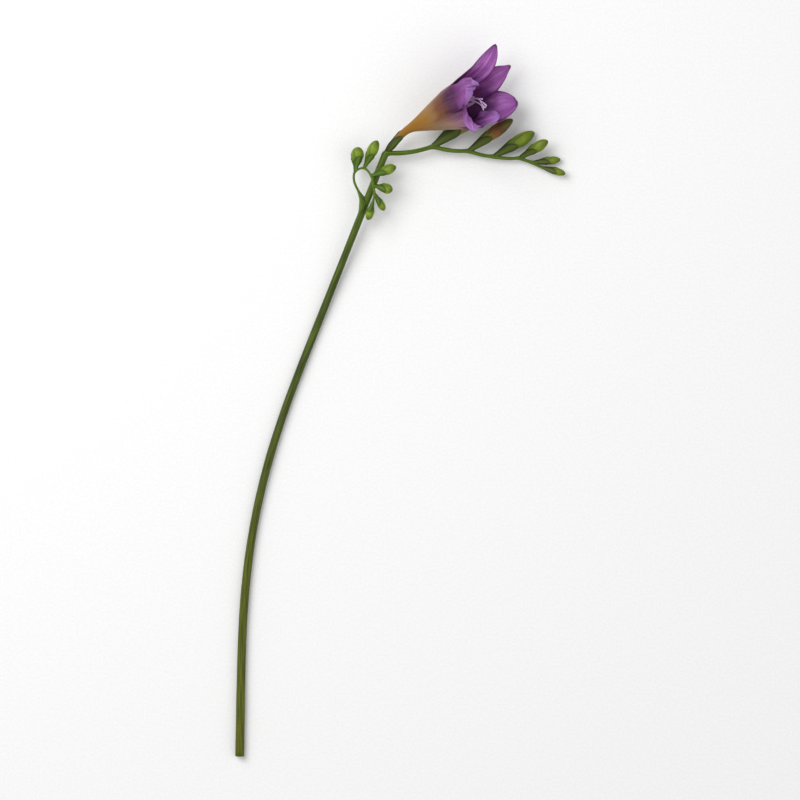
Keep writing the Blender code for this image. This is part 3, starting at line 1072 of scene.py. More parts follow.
@dataclass
class Bud:
    """A closed bud: three folded petals wound into a point, in a pair of keeled sheaths.

    Attributes:
        shape: Its sizes.
        node: The node that it grows from.
        skin: The petals' material.
        sheath_skin: The sheaths' material.
        slots: The record's slots of its petals and its sheaths.
        closes_from: How far up the petals start to close, as a share of the bud.
        fold: How far one petal's edge stands off the next, as a share of the radius.
        lean: How far the bud bows to its left, as a share of the radius.
        keel_height: How far a sheath's keel stands out.
        sheath_thickness: The sheaths' thickness.
        petals_clear: How far its petals stay off the table.
        sheaths_clear: How far its sheaths stay off the table.
    """

    shape: BudShape
    node: np.ndarray
    skin: bpy.types.Material
    sheath_skin: bpy.types.Material
    slots: tuple[str, str]
    closes_from: float = 0.52
    fold: float = 0.075
    lean: float = 0.05
    keel_height: float = 0.2 * MM
    sheath_thickness: float = 0.14 * MM
    petals_clear: float = 0.05 * MM
    sheaths_clear: float = 0.1 * MM

    @property
    def forward(self) -> np.ndarray:
        """The way the bud points."""
        return direction(self.shape.heading, self.shape.rise)

    def share(self, distance: Level) -> Level:
        """How far up the bud each distance from its node is, from 0 at its foot to 1 at its tip."""
        seat = self.shape.seat
        return np.clip((distance - seat * MM) / ((self.shape.length - seat) * MM), 0, 1)

    def radius(self, distance: Level) -> Level:
        """The bud's radius, its neck included.

        Args:
            distance: Distances from its node, in metres.

        Returns:
            The radius there.
        """
        shape = self.shape
        share = self.share(distance)
        neck = min(shape.stalk_radius * 0.9, shape.radius * 0.42) / shape.radius
        swell = neck + (1 - neck) * ease(share, -0.14, 0.6)
        past = np.clip((share - self.closes_from) / (1 - self.closes_from), 0, 1)
        return shape.radius * MM * swell * (1 - past**2.5) ** 0.6

    def body(self) -> None:
        """Builds the folded petals."""
        shape = self.shape
        rows, sides = 46, 48
        s = np.cos(np.linspace(0, 1, rows) * np.pi / 2)[::-1]
        distance = s * shape.length * MM
        share = self.share(distance)
        left, upper = side_axes(self.forward)
        angle = np.linspace(0, 2 * np.pi, sides + 1)
        round_share = angle / (2 * np.pi)
        petal = (round_share[None] * 3 + BUD_TWIST * s[:, None]) % 1.0
        stands = self.fold * ease(share, 0.15, 0.6) * (1 - 0.5 * ease(share, 0.85, 1.0))
        radius = self.radius(distance)[:, None] * (1 + (petal - 0.5) * stands[:, None])
        lean = self.lean * shape.radius * MM * np.sin(share * np.pi)
        middle = self.node + self.forward * distance[:, None] + left * lean[:, None]
        grid = middle[:, None] + turned(left, upper, angle)[None] * radius[:, :, None]
        grid[:, -1] = grid[:, 0]
        grid[..., 2] = np.maximum(grid[..., 2], self.petals_clear)
        surface = Surface(f"{shape.name}_petals")
        surface.add_grid(grid, [np.stack(np.broadcast_arrays(round_share[None], s[:, None]), -1)])
        Cap(0.1 * MM, 2).close(surface, grid[0], -self.forward, True)
        settle(surface.build([self.skin], SEAM_WELD), self.slots[0], shape.name)

    def sheaths(self) -> None:
        """Builds the two sheaths, the outer one longer and lapping the inner."""
        shape = self.shape
        left, upper = side_axes(self.forward)
        covered = shape.share * (shape.length - shape.seat) * MM
        start = shape.stalk_radius * 0.35 * MM
        across, along = grid_of(34, 23)
        for lap in Lap:
            reach = covered * (1.12 - 0.16 * lap.value) + shape.seat * MM - start
            distance = start + along * reach
            half = math.radians(112 - 10 * lap.value) * (1 - along**2.1) ** 0.8 + 0.02
            turn = (2 * across - 1) * half
            clear = (0.26 - 0.12 * lap.value) * MM * (0.15 + 0.85 * ease(along, 0.0, 0.25))
            keel = self.keel_height * hump(turn, 0.0, 0.15) * ease(along, 0.0, 0.25) * (1 - along**4)
            plump = shape.radius * MM * (0.06 * ease(along, 0.8, 1.0) + 0.07 * np.sin(along * np.pi))
            radius = self.radius(distance) + clear + keel + plump
            spread = turned(left, upper, lap.keel + turn)
            grid = self.node + self.forward * distance[..., None] + spread * radius[..., None]
            grid[..., 2] = np.maximum(grid[..., 2], self.sheaths_clear)
            name = f"{shape.name}_{lap.part}_sheath"
            sheath = sheath_of(name, grid, self.sheath_skin, self.sheath_thickness)
            settle(sheath, self.slots[1], f"{shape.name}_{lap.part}_bract")

    def build(self) -> None:
        """Builds the bud and its sheaths."""
        self.body()
        self.sheaths()


@dataclass
class Spike:
    """The six closed buds that follow the flower, in a low row and a high row.

    Attributes:
        nodes: The nodes that they grow from.
        shapes: Their sizes.
    """

    nodes: np.ndarray
    shapes: tuple[BudShape, ...] = (
        BudShape("bud_2", 35.0, 4.7, 37.0, -4.6, 0.40, 3.2, 1.25),
        BudShape("bud_3", 26.5, 3.1, 35.5, 9.0, 0.46, 3.2, 1.15),
        BudShape("bud_4", 23.2, 3.2, 30.8, -2.5, 0.50, 3.2, 1.05),
        BudShape("bud_5", 16.5, 2.6, 31.0, 18.0, 0.52, 3.0, 0.95),
        BudShape("bud_6", 13.5, 1.95, 6.0, -3.0, 0.55, 2.6, 0.85),
        BudShape("bud_7", 11.5, 1.8, -16.0, 6.0, 0.60, 2.0, 0.78),
    )

    def build(self) -> None:
        """Builds the buds."""
        skins = {"bud_2": VIOLET_BUD_SKIN.build(), "bud_3": OLIVE_BUD_SKIN.build()}
        slots = {"bud_2": "petal", "bud_3": "bud_olive"}
        green = GREEN_BUD_SKIN.build()
        sheath = BRACT_SKIN.build()
        for shape, node in zip(self.shapes, self.nodes):
            slot = slots.get(shape.name, "bud_green")
            Bud(shape, node, skins.get(shape.name, green), sheath, (slot, "bract_green")).build()


@dataclass(frozen=True)
class Lobe:
    """One lobe of the open flower.

    Attributes:
        name: Its solid.
        sector: Its share of the tube, in degrees round the throat from the left of the axis over its upper side.
        phase: Which way its blade faces out, in the same degrees.
        length: From the throat to its tip, in mm.
        leans: Degrees off the axis, evenly spaced from its base to its tip.
        widths: Half widths in mm, spaced the same way.
        twists: Degrees that the blade turns about its midline, spaced the same way.
        blunt: How late its tip closes.
        ruffle: The waves of its sides, in mm.
        frill: The waves of its tip, in mm.
        skew: How much further forward its first side reaches, in mm.
    """

    name: str
    sector: tuple[float, float]
    phase: float
    length: float
    leans: tuple[float, ...]
    widths: tuple[float, ...]
    twists: tuple[float, ...] = (0.0, 0.0)
    blunt: float = 14.0
    ruffle: float = 0.5
    frill: float = 0.0
    skew: float = 0.0


@dataclass
class Flower:
    """The open flower: bracts and a curved funnel that splits into six lobes.

    Attributes:
        node: The node that it grows from.
        seat: The distance from its node to the tube's foot.
        axis_length: How far its axis is worked out.
        tube_length: From the tube's foot to the throat.
        base_radius: The tube's radius at its foot.
        flare: How much the tube's radius grows with each metre past its narrow part.
        flare_starts: Where it starts to.
        flare_blend: How gently it starts.
        bend: Where the axis starts to bend and where it stops.
        heading: Its headings before the bend and after it.
        rise: Its rises off the table before the bend and after it.
        bract_length: From the tube's foot to the outer sheath's point.
        bract_foot: How far below the tube's foot the sheaths start.
        bract_thickness: The sheaths' thickness.
        keel_height: How far a sheath's keel stands out.
        neck_length: From the node to the ovary's top.
        neck_radius: Its radius there.
        neck_swell: How much thicker its middle is.
        thickness: The petals' thickness.
        groove: How deep the grooves down the tube are, as a share of its radius.
        rib: The depth and the half width of the hollow along a lobe's middle.
        pleats: The depth and the number of the fine pleats along it.
        lobes: The six lobes in order round the throat.
    """

    node: np.ndarray
    seat: float = 3.2 * MM
    axis_length: float = 90 * MM
    tube_length: float = 36.5 * MM
    base_radius: float = 1.6 * MM
    flare: float = 0.385
    flare_starts: float = 14.2 * MM
    flare_blend: float = 3.0 * MM
    bend: tuple[float, float] = (5 * MM, 18 * MM)
    heading: tuple[float, float] = (49.0, 23.5)
    rise: tuple[float, float] = (13.0, 18.0)
    bract_length: float = 10.3 * MM
    bract_foot: float = 2.2 * MM
    bract_thickness: float = 0.22 * MM
    keel_height: float = 0.36 * MM
    neck_length: float = 6.4 * MM
    neck_radius: float = 1.15 * MM
    neck_swell: float = 0.5 * MM
    thickness: float = 0.34 * MM
    groove: float = 0.02
    rib: tuple[float, float] = (0.45 * MM, 0.16)
    pleats: tuple[float, int] = (0.12 * MM, 5)
    lobes: tuple[Lobe, ...] = (
        Lobe(
            "outer_tepal_1",
            sector=(-33.0, 32.0),
            phase=-24.0,
            length=35.6,
            leans=(16, 4, 2, 12, 31, 45, 52),
            widths=(5.2, 5.2, 5.4, 5.4, 4.8, 3.6, 1.7),
            twists=(0, 0, 12, 28, 42, 46, 46),
            blunt=20.0,
            ruffle=0.4,
        ),
        Lobe(
            "inner_tepal_1",
            sector=(-92.0, -33.0),
            phase=-62.0,
            length=33.5,
            leans=(20, 9, 6, 8, 12, 18, 22),
            widths=(5.4, 6.6, 7.4, 7.7, 6.9, 4.4, 0.9),
            blunt=20.0,
            ruffle=0.6,
        ),
        Lobe(
            "outer_tepal_2",
            sector=(-150.0, -92.0),
            phase=-120.0,
            length=29.5,
            leans=(22, 22, 18, 14, 12, 12, 14),
            widths=(5.4, 7.2, 8.5, 9.1, 8.9, 7.6, 5.0),
            ruffle=0.6,
        ),
        Lobe(
            "inner_tepal_2",
            sector=(-206.0, -150.0),
            phase=-162.0,
            length=20.8,
            leans=(18, 8, 4, 4, 6, 8, 12),
            widths=(5.3, 5.4, 5.5, 5.8, 5.9, 5.2, 3.8),
            twists=(0, -6, -12, -18, -20, -20, -20),
            blunt=12.0,
            ruffle=0.7,
        ),
        Lobe(
            "outer_tepal_3",
            sector=(-263.0, -206.0),
            phase=-234.3,
            length=24.4,
            leans=(22, 4, 19, 70, 83, 79, 74),
            widths=(5.4, 5.8, 6.8, 7.1, 5.3, 2.6, 0.8),
            twists=(0, 6, 14, 2, -28, -36, -56),
            blunt=20.0,
            ruffle=0.4,
            skew=-0.3,
        ),
        Lobe(
            "inner_tepal_3",
            sector=(-328.0, -263.0),
            phase=-296.0,
            length=18.6,
            leans=(20, 6, 0, -4, -3, 10, 46),
            widths=(5.8, 7.0, 7.4, 7.5, 7.5, 7.0, 5.2),
            blunt=9.0,
            ruffle=0.9,
            frill=1.9,
            skew=2.6,
        ),
    )

    @property
    def foot_way(self) -> np.ndarray:
        """The way the tube's foot points."""
        return direction(self.heading[0], self.rise[0])

    def pointing(self, distances: np.ndarray) -> np.ndarray:
        """The way the axis points.

        Args:
            distances: Distances from the tube's foot, in metres.

        Returns:
            Unit vectors.
        """
        share = ease(distances, *self.bend)
        heading, rise = (start + (end - start) * share for start, end in (self.heading, self.rise))
        return direction(heading, rise)

    def axis(self, distances: np.ndarray) -> tuple[np.ndarray, np.ndarray, np.ndarray, np.ndarray]:
        """The flower's axis at distances from its foot.

        Args:
            distances: Distances in metres.

        Returns:
            The points, and the forward, left and upper directions there.
        """
        fine = np.linspace(0, self.axis_length, 901)
        steps = self.pointing((fine[1:] + fine[:-1]) / 2) * (fine[1] - fine[0])
        foot = self.node + self.foot_way * self.seat
        path = foot + np.concatenate([np.zeros((1, 3)), np.cumsum(steps, axis=0)])
        points = np.stack([np.interp(distances, fine, path[:, i]) for i in range(3)], -1)
        forward = self.pointing(distances)
        return points, forward, *side_axes(forward)

    def radius(self, distance: Level) -> Level:
        """The tube's outer radius at distances from its foot."""
        past = distance - self.flare_starts
        return self.base_radius + self.flare * (np.hypot(past, self.flare_blend) + past) / 2

    def wall(self, lobe: Lobe, across: np.ndarray, s: np.ndarray) -> np.ndarray:
        """The tube's wall below one lobe, grooved between the lobes.

        Args:
            lobe: The lobe.
            across: Shares of its sector, of shape (1, columns).
            s: Distances from the tube's foot, of shape (rows, 1).

        Returns:
            Points of shape (rows, columns, 3).
        """
        low, high = np.radians(lobe.sector)
        points, _, left, upper = self.axis(s[:, 0])
        grooved = self.groove * ease(s, 3 * MM, 14 * MM) * (1 - ease(s, 26 * MM, 36 * MM))
        reach = self.radius(s) * (1 + grooved * np.cos(2 * np.pi * (across - 0.5)))
        spread = turned(left[:, None], upper[:, None], low + (high - low) * across)
        return points[:, None] + spread * reach[..., None]

    def relief(self, index: int, across: np.ndarray, t: np.ndarray) -> np.ndarray:
        """How far the ruffles, the rib, the pleats and the frill stand off one lobe's blade.

        Args:
            index: Which lobe.
            across: Shares of its width, of shape (1, columns).
            t: Shares of its length, of shape (rows, 1).

        Returns:
            Metres, of shape (rows, columns).
        """
        lobe = self.lobes[index]
        edge = np.abs(2 * across - 1)
        # The ruffles start elsewhere on each lobe and on each of its sides; the frill is a slow wave and a fast one.
        wave = np.sin(t * 17 + index * 2.1 + 1.6 * np.sign(across - 0.5)) * edge**3 * ease(t, 0.15, 0.6)
        rib = hump(edge, 0.0, self.rib[1]) * ease(t, 0.05, 0.4) * (1 - ease(t, 0.8, 1.0))
        pleat = np.cos(across * 2 * np.pi * self.pleats[1]) * ease(t, 0.1, 0.5) * (1 - edge**2)
        frill = (np.sin(across * 19 + 1.3) + 0.15 * np.sin(across * 31)) * ease(t, 0.6, 1.0)
        return (lobe.ruffle * wave + lobe.frill * frill) * MM - self.rib[0] * rib + self.pleats[0] * pleat

    def blade(self, index: int, across: np.ndarray, t: np.ndarray) -> np.ndarray:
        """One lobe's blade, from the throat to its tip.

        Args:
            index: Which lobe.
            across: Shares of its width, of shape (1, columns).
            t: Shares of its length, of shape (rows, 1).

        Returns:
            Points of shape (rows, columns, 3).
        """
        lobe = self.lobes[index]
        low, high = np.radians(lobe.sector)
        phase = math.radians(lobe.phase)
        throat, forward, left, upper = (each[0] for each in self.axis(np.array([self.tube_length])))
        outward, along_rim = turned(left, upper, phase), turned(upper, -left, phase)
        rim = self.radius(self.tube_length)
        fine = np.linspace(0, 1, 401)
        lean = np.radians(through(lobe.leans, fine))
        middles = (lean[1:] + lean[:-1]) / 2
        step = lobe.length * MM / 400
        out, up = (np.concatenate([[0], np.cumsum(each(middles) * step)]) for each in (np.sin, np.cos))
        out_t, up_t, lean_t = (np.interp(t, fine, each) for each in (rim + out, up, lean))
        middle = throat + outward * out_t[..., None] + forward * up_t[..., None]
        facing = turned(outward, -forward, lean_t * ease(t, 0.0, 0.25))
        base = rim * (high - low) / 2
        half = base + (through(lobe.widths, t) * MM - base) * ease(t, 0.0, 0.2)
        half = half * np.sqrt(np.clip(1 - t**lobe.blunt, 0, 1))
        hollow = rim * (1 + 1.3 * ease(t, 0.0, 1.0))
        bow = (2 * across - 1) * half / hollow + ((low + high) / 2 - phase) * (1 - ease(t, 0.0, 0.4))
        twist = np.radians(through(lobe.twists, t))
        side, away = turned(along_rim, facing, twist), turned(facing, -along_rim, twist)
        stands = self.relief(index, across, t) - hollow * (1 - np.cos(bow))
        skew = lobe.skew * MM * (1 - 2 * across) * ease(t, 0.3, 1.0)
        flat = middle + side * (hollow * np.sin(bow))[..., None]
        return flat + away * stands[..., None] + forward * skew[..., None]

    def sector(self, index: int) -> tuple[np.ndarray, list[np.ndarray]]:
        """One sixth of the flower, from the tube's foot to its lobe's tip.

        Args:
            index: Which lobe.

        Returns:
            The points, and their three maps.
        """
        lobe = self.lobes[index]
        low, high = np.radians(lobe.sector)
        columns, tube_rows, lobe_rows = 33, 34, 64
        across = np.linspace(0, 1, columns)[None]
        s = np.linspace(0, self.tube_length, tube_rows)[:, None]
        t = np.linspace(0, 1, lobe_rows)[:, None] ** 0.9
        grid = np.concatenate([self.wall(lobe, across, s)[:-1], self.blade(index, across, t)])
        in_tube = np.concatenate([s[:-1] / self.tube_length, np.ones((lobe_rows, 1))])
        in_lobe = np.concatenate([np.zeros((tube_rows - 1, 1)), t])
        along = THROAT * in_tube + (1 - THROAT) * in_lobe
        round_share = (low + (high - low) * across) / (2 * np.pi)
        pairs = ((across, along), (across, in_lobe), (round_share, along))
        return grid, [np.stack(np.broadcast_arrays(*pair), -1) for pair in pairs]

    def perianth(self) -> None:
        """Builds the tube and its lobes as the one thing that they are."""
        surface = Surface("flower_tube_and_petals", (MAP, LOBE_MAP, ROUND_MAP))
        for index in range(len(self.lobes)):
            surface.add_grid(*self.sector(index))
        petals = surface.build([OUTER_PETAL_SKIN.build(), INNER_PETAL_SKIN.build()], SEAM_WELD)
        thicken(petals, self.thickness, 1)
        settle(petals, "petal", "flower_tube", *(lobe.name for lobe in self.lobes))

    def bracts(self) -> None:
        """Builds the two dark sheaths round the tube's foot."""
        skin = FLOWER_BRACT_SKIN.build()
        across, along = grid_of(30, 23)
        for lap in Lap:
            reach = self.bract_length * (1.0 - 0.12 * lap.value) + self.bract_foot
            distance = along * reach - self.bract_foot
            on_tube = np.clip(distance, 0, None)
            points, forward, left, upper = self.axis(on_tube)
            points = points + forward * (distance - on_tube)[..., None]
            half = math.radians(106 - 8 * lap.value) * (1 - 0.92 * along**3.4) * (1 - 0.1 * (1 - along))
            turn = (2 * across - 1) * half
            keel = self.keel_height * hump(turn, 0.0, 0.16) * ease(along, 0.0, 0.3) * (1 - along**4)
            clear = (0.36 - 0.16 * lap.value) * MM
            lip = 0.35 * MM * ease(along, 0.7, 1.0)
            narrow = 0.75 * MM * (1 - ease(along, -0.05, 0.3))
            radius = self.radius(distance) + clear + keel + lip - narrow
            grid = points + turned(left, upper, lap.keel + turn) * radius[..., None]
            sheath = sheath_of(f"flower_{lap.part}_sheath", grid, skin, self.bract_thickness)
            settle(sheath, "bract_green", f"flower_{lap.part}_bract")

    def neck(self) -> None:
        """Builds the green ovary under the tube, which the sheaths wrap."""
        share = np.linspace(0, 1, 24)
        line = Line(self.node + self.foot_way * (share * self.neck_length)[:, None])
        radii = self.neck_radius + self.neck_swell * hump(share, 0.62, 0.3)
        caps = (Cap(0.1 * MM, 2), Cap(0.1 * MM, 2))
        settle(Tube("flower_ovary", line, radii, 20, caps, 3, 0.05, 20.0).build([OVARY_SKIN.build()]), "bract_green")

    def build(self) -> None:
        """Builds the whole flower."""
        self.perianth()
        Inside(self).build()
        self.bracts()
        self.neck()


@dataclass
class Inside:
    """What stands in the flower's tube: three stamens, and a style whose three branches fork.

    Attributes:
        flower: The flower.
        droop: How far they are set to the left of the axis, towards their ends.
        droop_starts: Where that starts.
        angles: The stamens' places round the axis, in degrees.
        span: Where the stamens start, and where their anthers end.
        off_wall: How far from the tube's outer side they start.
        off_axis: How far their anthers stand off the axis.
        filament_ends: The share of a stamen at which its filament ends, inside the anther.
        anther_starts: The share at which its anther starts.
        filament_radius: The filaments' radius.
        anther_radius: The anthers' radius.
        style_span: Where the style starts, and where it parts into its branches.
        style_radii: Its radius at those two places.
        branches: Each branch's (ahead, aside and above in mm, and how late it bends aside).
        branch_radius: A branch's radius at its foot.
        fork_radius: A fork's radius at its foot.
        fork_gap: How far a fork's end is from its branch's line.
    """

    flower: Flower
    droop: float = -0.3 * MM
    droop_starts: float = 18 * MM
    angles: tuple[float, ...] = (60.0, 180.0, 300.0)
    span: tuple[float, float] = (15 * MM, 50 * MM)
    off_wall: float = 1.07 * MM
    off_axis: float = 1.65 * MM
    filament_ends: float = 0.74
    anther_starts: float = 0.68
    filament_radius: float = 0.27 * MM
    anther_radius: float = 0.78 * MM
    style_span: tuple[float, float] = (1.5 * MM, 48.5 * MM)
    style_radii: tuple[float, float] = (0.42 * MM, 0.32 * MM)
    branches: tuple = ((6.6, -6.0, 2.4, 2.6), (5.6, -6.6, 1.0, 1.25), (6.6, -2.6, 3.6, 2.2))
    branch_radius: float = 0.36 * MM
    fork_radius: float = 0.26 * MM
    fork_gap: float = 0.85 * MM

    def middle(self, distances: np.ndarray) -> tuple[np.ndarray, np.ndarray, np.ndarray]:
        """The line that the style follows.

        Args:
            distances: Distances from the tube's foot, in metres.

        Returns:
            Its points, and the left and upper directions there.
        """
        points, _, left, upper = self.flower.axis(distances)
        aside = self.droop * ease(distances, self.droop_starts, self.style_span[1])
        return points - left * aside[:, None], left, upper

    def rod(
        self, name: str, points: np.ndarray, radii: np.ndarray, sides: int, skin: bpy.types.Material
    ) -> bpy.types.Object:
        """A soft round rod with domed ends.

        Args:
            name: Its name.
            points: Its middle line.
            radii: Its radius at each point.
            sides: How many sides.
            skin: Its material.

        Returns:
            The rod.
        """
        caps = (Cap(radii[0] * 0.6, 3), Cap(radii[-1] * 0.8, 3))
        return Tube(name, Line(points), radii, sides, caps, scale=100.0).build([skin])

    def stamens(self) -> None:
        """Builds the three stamens, each a filament and a two-lobed anther."""
        filament_skin, anther_skin = FILAMENT_SKIN.build(), ANTHER_SKIN.build()
        start, end = self.span
        share = np.linspace(0, 1, 60)
        in_filament, in_anther = share < self.filament_ends, share > self.anther_starts
        radii = np.full(in_filament.sum(), self.filament_radius)
        up_anther = (share[in_anther] - self.anther_starts) / (1 - self.anther_starts)
        anther_radii = self.anther_radius * np.sqrt(np.sin(np.pi * (0.06 + 0.88 * up_anther)))
        caps = (Cap(0.2 * MM, 3), Cap(0.2 * MM, 3))
        at_wall = self.flower.radius(start) - self.off_wall
        off = at_wall + (self.off_axis - at_wall) * ease(share, 0.0, 0.6)
        middle, left, upper = self.middle(start + (end - start) * share)
        for number, angle in enumerate(self.angles, 1):
            points = middle + turned(left, upper, math.radians(angle)) * off[:, None]
            filament = self.rod(f"stamen_{number}_filament", points[in_filament], radii, 10, filament_skin)
            settle(filament, "stamen", f"stamen_{number}")
            line = Line(points[in_anther])
            anther = Tube(f"stamen_{number}_anther", line, anther_radii, 20, caps, 2, 0.24, 100.0)
            settle(anther.build([anther_skin]), "stamen")

    def style(self) -> None:
        """Builds the style: its column, and three branches that fork at their ends."""
        skin = STYLE_SKIN.build()
        distances = np.linspace(*self.style_span, 90)
        points = self.middle(distances)[0]
        settle(self.rod("style_column", points, np.linspace(*self.style_radii, 90), 12, skin), "stamen", "style")
        _, forward, left, upper = (each[-1] for each in self.flower.axis(distances))
        share = np.linspace(0, 1, 40)[:, None]
        radii = self.branch_radius * (1 - 0.25 * share[:, 0])
        up_fork = np.linspace(0, 1, 16)
        fork_radii = self.fork_radius * (1 + 0.4 * hump(up_fork, 0.9, 0.35))
        gap = self.fork_gap * up_fork[:, None] ** 1.5
        for number, (ahead, aside, above, late) in enumerate(self.branches, 1):
            bend = left * aside * share**late + upper * above * share
            branch = points[-1] - forward * MM + (forward * ahead * share * (1.6 - 0.6 * share) + bend) * MM
            settle(self.rod(f"style_branch_{number}", branch[:27], radii[:27], 10, skin), "stamen")
            across = unit(np.cross(unit(branch[-1] - branch[26]), upper))
            for side, which in ((-1, "lower"), (1, "upper")):
                fork = branch[24:] + across * side * gap
                settle(self.rod(f"style_fork_{number}_{which}", fork, fork_radii, 8, skin), "stamen")

    def build(self) -> None:
        """Builds the stamens and the style."""
        self.stamens()
        self.style()


@dataclass
class SideShoot:
    """The side shoot: a thin stalk that arches over the stem, six small buds on its back and a leaf at its foot.

    Attributes:
        stem: The stem that it grows from.
        leaf_node: Where on the stem the leaf and the shoot grow.
        radius: The stalk's radius at its foot.
        taper: How much thinner it is at its end, as a share of that.
        foot_swell: How much thicker its foot is, as a share, and how far that spreads.
        swell: The same for the places where its buds sit.
        rounding: The step and the width of the rounding of its corners.
        ridges: How many low ridges run along it, and their height as a share of the radius.
        foot_gap: How far past the leaf's node the stalk leaves the stem.
        route: The stalk's turning points, in mm from the stem's cut end.
        shapes: Each bud's sizes, with the number of the turning point that it sits on.
        leaf_length: The leaf's length.
        leaf_foot: How far before its node it starts.
        leaf_parts: Where on the leaf its blade starts to stand off the stem, and how gently.
        leaf_thickness: Its thickness.
    """

    stem: Stem
    leaf_node: float = 280.5 * MM
    radius: float = 0.62 * MM
    taper: float = 0.2
    foot_swell: tuple[float, float] = (0.25, 3 * MM)
    swell: tuple[float, float] = (0.22, 1.1 * MM)
    rounding: tuple[float, float] = (0.25 * MM, 0.5 * MM)
    ridges: tuple[int, float] = (5, 0.03)
    foot_gap: float = 1.5 * MM
    route: tuple = (
        (59.8, 274.3, 7.5), (57.5, 277.8, 8.2), (56.0, 282.0, 9.0),
        (56.6, 286.0, 10.2), (61.0, 287.6, 11.4), (64.4, 283.8, 11.8),
        (65.4, 279.2, 11.4), (66.0, 275.4, 11.0), (65.4, 271.4, 10.6),
    )
    shapes: tuple[tuple[int, BudShape], ...] = (
        (3, BudShape("shoot_bud_1", 12.5, 3.2, 82.0, -14.0, 0.50, 2.4, 0.6)),
        (4, BudShape("shoot_bud_2", 15.0, 2.7, 64.0, 6.0, 0.50, 2.4, 0.58)),
        (5, BudShape("shoot_bud_3", 13.0, 2.5, 20.0, 2.0, 0.52, 2.4, 0.56)),
        (6, BudShape("shoot_bud_4", 10.0, 2.5, -14.0, -12.0, 0.52, 2.4, 0.54)),
        (7, BudShape("shoot_bud_5", 10.5, 1.8, -60.0, -24.0, 0.52, 2.4, 0.52)),
        (8, BudShape("shoot_bud_6", 9.5, 2.0, -106.0, 2.0, 0.55, 1.8, 0.5)),
    )
    leaf_length: float = 10.4 * MM
    leaf_foot: float = 5 * MM
    leaf_parts: tuple[float, float] = (5.5 * MM, 2 * MM)
    leaf_thickness: float = 0.2 * MM

    @property
    def spots(self) -> np.ndarray:
        """The stalk's turning points in the frame."""
        return CUT_END + np.array(self.route) * MM

    def stalk(self) -> None:
        """Builds the stalk as a smooth line through its turning points."""
        spots = self.spots
        points = through(spots, np.linspace(0, 1, 12 * (len(spots) - 1) + 1))
        foot = Line(self.stem.stalk()).at(self.leaf_node + self.foot_gap)
        line = Line(np.concatenate([foot[None], points])).rounded(*self.rounding)
        reach = line.reach
        radii = self.radius * (1 - self.taper * reach / reach[-1])
        radii = radii * (1 + self.foot_swell[0] * hump(reach, 0, self.foot_swell[1]))
        for spot in spots[3:]:
            radii = radii * (1 + self.swell[0] * hump(reach, line.nearest(spot), self.swell[1]))
        caps = (Cap(0.1 * MM, 2), Cap(0.2 * MM, 3))
        tube = Tube("side_shoot_skin", line, radii, 16, caps, *self.ridges, 30.0)
        settle(tube.build([SHOOT_SKIN.build()]), "shoot_green", "side_shoot_stalk")

    def leaf(self) -> None:
        """Builds the small leaf whose sheath clasps the stem."""
        node, ahead = Line(self.stem.stalk()).at(np.array([self.leaf_node, self.leaf_node + 4 * MM]))
        forward = unit(ahead - node)
        left, upper = side_axes(forward)
        across, along = grid_of(34, 21)
        distance = along * self.leaf_length
        past = distance - self.leaf_parts[0]
        away = (np.hypot(past, self.leaf_parts[1]) + past) / 2 * 0.8
        half = math.radians(112) * (1 - 0.9 * along**2.2) * (0.72 + 0.28 * ease(along, 0.0, 0.3))
        turn = (2 * across - 1) * half
        keel = 0.28 * MM * hump(turn, 0.0, 0.14) * ease(along, 0.05, 0.45)
        radius = self.stem.radius(self.leaf_node) + 0.34 * MM * ease(along, -0.1, 0.35)
        radius = radius * (1 + 0.4 * along) + keel
        spread = turned(left, upper, math.radians(8) + turn)
        middle = node + forward * (distance - self.leaf_foot)[..., None]
        grid = middle + spread * radius[..., None] + left * away[..., None]
        blade = sheath_of("node_leaf_blade", grid, LEAF_SKIN.build(), self.leaf_thickness)
        settle(blade, "shoot_green", "node_leaf")

    def build(self) -> None:
        """Builds the shoot, its buds and its leaf."""
        self.stalk()
        self.leaf()
        bud_skin, sheath_skin = SHOOT_BUD_SKIN.build(), SHOOT_BRACT_SKIN.build()
        for index, shape in self.shapes:
            Bud(shape, self.spots[index], bud_skin, sheath_skin, ("shoot_green", "shoot_bract")).build()


# The studio


@dataclass(frozen=True)
class Lamp:
    """One soft square light.

    Attributes:
        name: Its name.
        place: Where it hangs.
        aim: What it points at.
        size: Its side in metres.
        power: Its power in watts.
    """

    name: str
    place: tuple[float, float, float]
    aim: tuple[float, float, float]
    size: float
    power: float

    def hang(self) -> None:
        """Hangs the light."""
        lamp = bpy.data.lights.new(self.name, "AREA")
        lamp.shape = "SQUARE"
        lamp.size = self.size
        lamp.energy = self.power
        obj = bpy.data.objects.new(self.name, lamp)
        obj.location = self.place
        obj.rotation_euler = (Vector(self.aim) - Vector(self.place)).to_track_quat("-Z", "Y").to_euler()
        bpy.context.scene.collection.objects.link(obj)


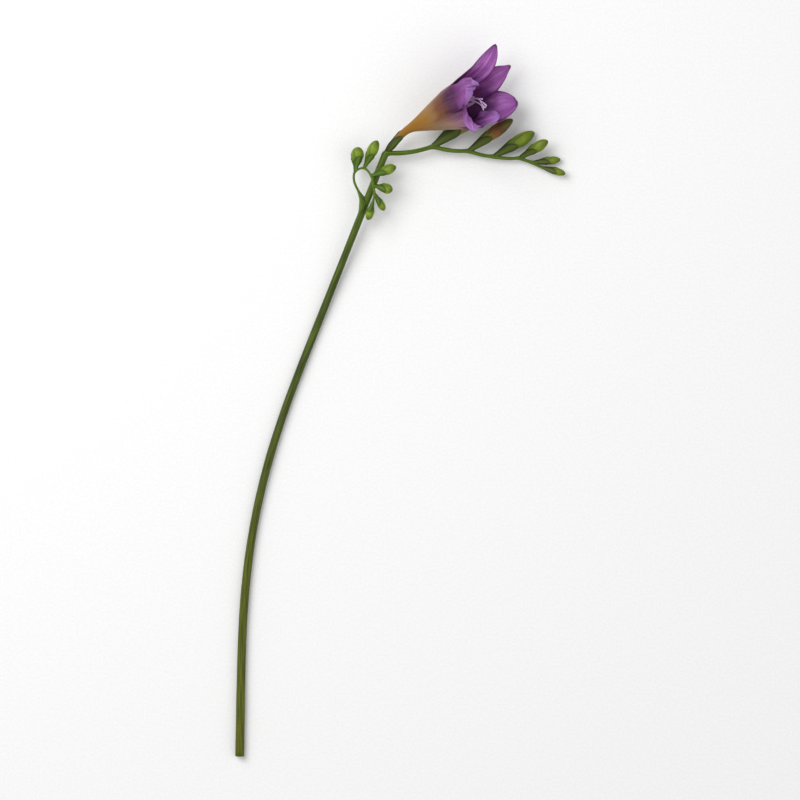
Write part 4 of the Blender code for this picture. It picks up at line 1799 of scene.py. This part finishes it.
@dataclass
class Studio:
    """The pale floor, the soft light and the camera that looks straight down on the stem.

    Attributes:
        camera_height: How far above the table the camera is.
        field: How much of the table it sees, from side to side.
        film: The width of its film in millimetres.
        floor_half: Half the floor's side.
        floor_drop: How far the floor is below z = 0, so that it doesn't fight with what rests there.
        floor_colours: The floor's two whites.
        room: The strength of the light from all round.
        lamps: The lights.
    """

    camera_height: float = 3.0
    field: float = 0.392
    film: float = 36.0
    floor_half: float = 3.0
    floor_drop: float = 0.2 * MM
    floor_colours: tuple[Colour, Colour] = ((0.86, 0.86, 0.86), (0.9, 0.9, 0.9))
    room: float = 0.44
    lamps: tuple[Lamp, ...] = (
        Lamp("key", (-0.7, 0.55, 1.1), (0.0, 0.03, 0.0), 1.0, 15.0),
        Lamp("fill", (0.9, -0.3, 1.2), (0.0, 0.0, 0.0), 1.4, 5.5),
    )

    def floor(self) -> None:
        """Lays the floor."""
        mesh = bpy.data.meshes.new("floor")
        half = self.floor_half
        mesh.from_pydata([(-half, -half, 0), (half, -half, 0), (half, half, 0), (-half, half, 0)], [], [(0, 1, 2, 3)])
        obj = bpy.data.objects.new("floor", mesh)
        obj.location.z = -self.floor_drop
        bpy.context.scene.collection.objects.link(obj)
        board = Board("floor_paper")
        grain = board.noise(board.add("ShaderNodeTexCoord").outputs["Object"], 1, 1, scale=900.0)
        mesh.materials.append(board.finish(board.blend(board.span(grain, 0.3, 0.7), *self.floor_colours), 0.8))

    def room_light(self) -> None:
        """Sets the even light from all round, and the plain view of the colours."""
        world = bpy.data.worlds.new("room")
        world.use_nodes = True
        background = world.node_tree.nodes["Background"]
        background.inputs[0].default_value = (1.0, 1.0, 1.0, 1.0)
        background.inputs[1].default_value = self.room
        bpy.context.scene.world = world
        bpy.context.scene.view_settings.view_transform = "Standard"

    def camera(self) -> None:
        """Sets up the camera."""
        camera = bpy.data.cameras.new("camera")
        camera.sensor_width = self.film
        camera.lens = self.film * self.camera_height / self.field
        obj = bpy.data.objects.new("camera", camera)
        obj.location.z = self.camera_height
        bpy.context.scene.collection.objects.link(obj)
        bpy.context.scene.camera = obj

    def build(self) -> None:
        """Builds the studio."""
        self.floor()
        for lamp in self.lamps:
            lamp.hang()
        self.room_light()
        self.camera()


def main() -> None:
    """Builds every piece in order."""
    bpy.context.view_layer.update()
    stem = Stem()
    stem.build()
    nodes = stem.nodes()
    Flower(nodes[0]).build()
    Spike(nodes[1:]).build()
    SideShoot(stem).build()
    Studio().build()


if __name__ == "__main__":
    logging.basicConfig(level=logging.INFO, format="%(name)s: %(message)s")
    main()
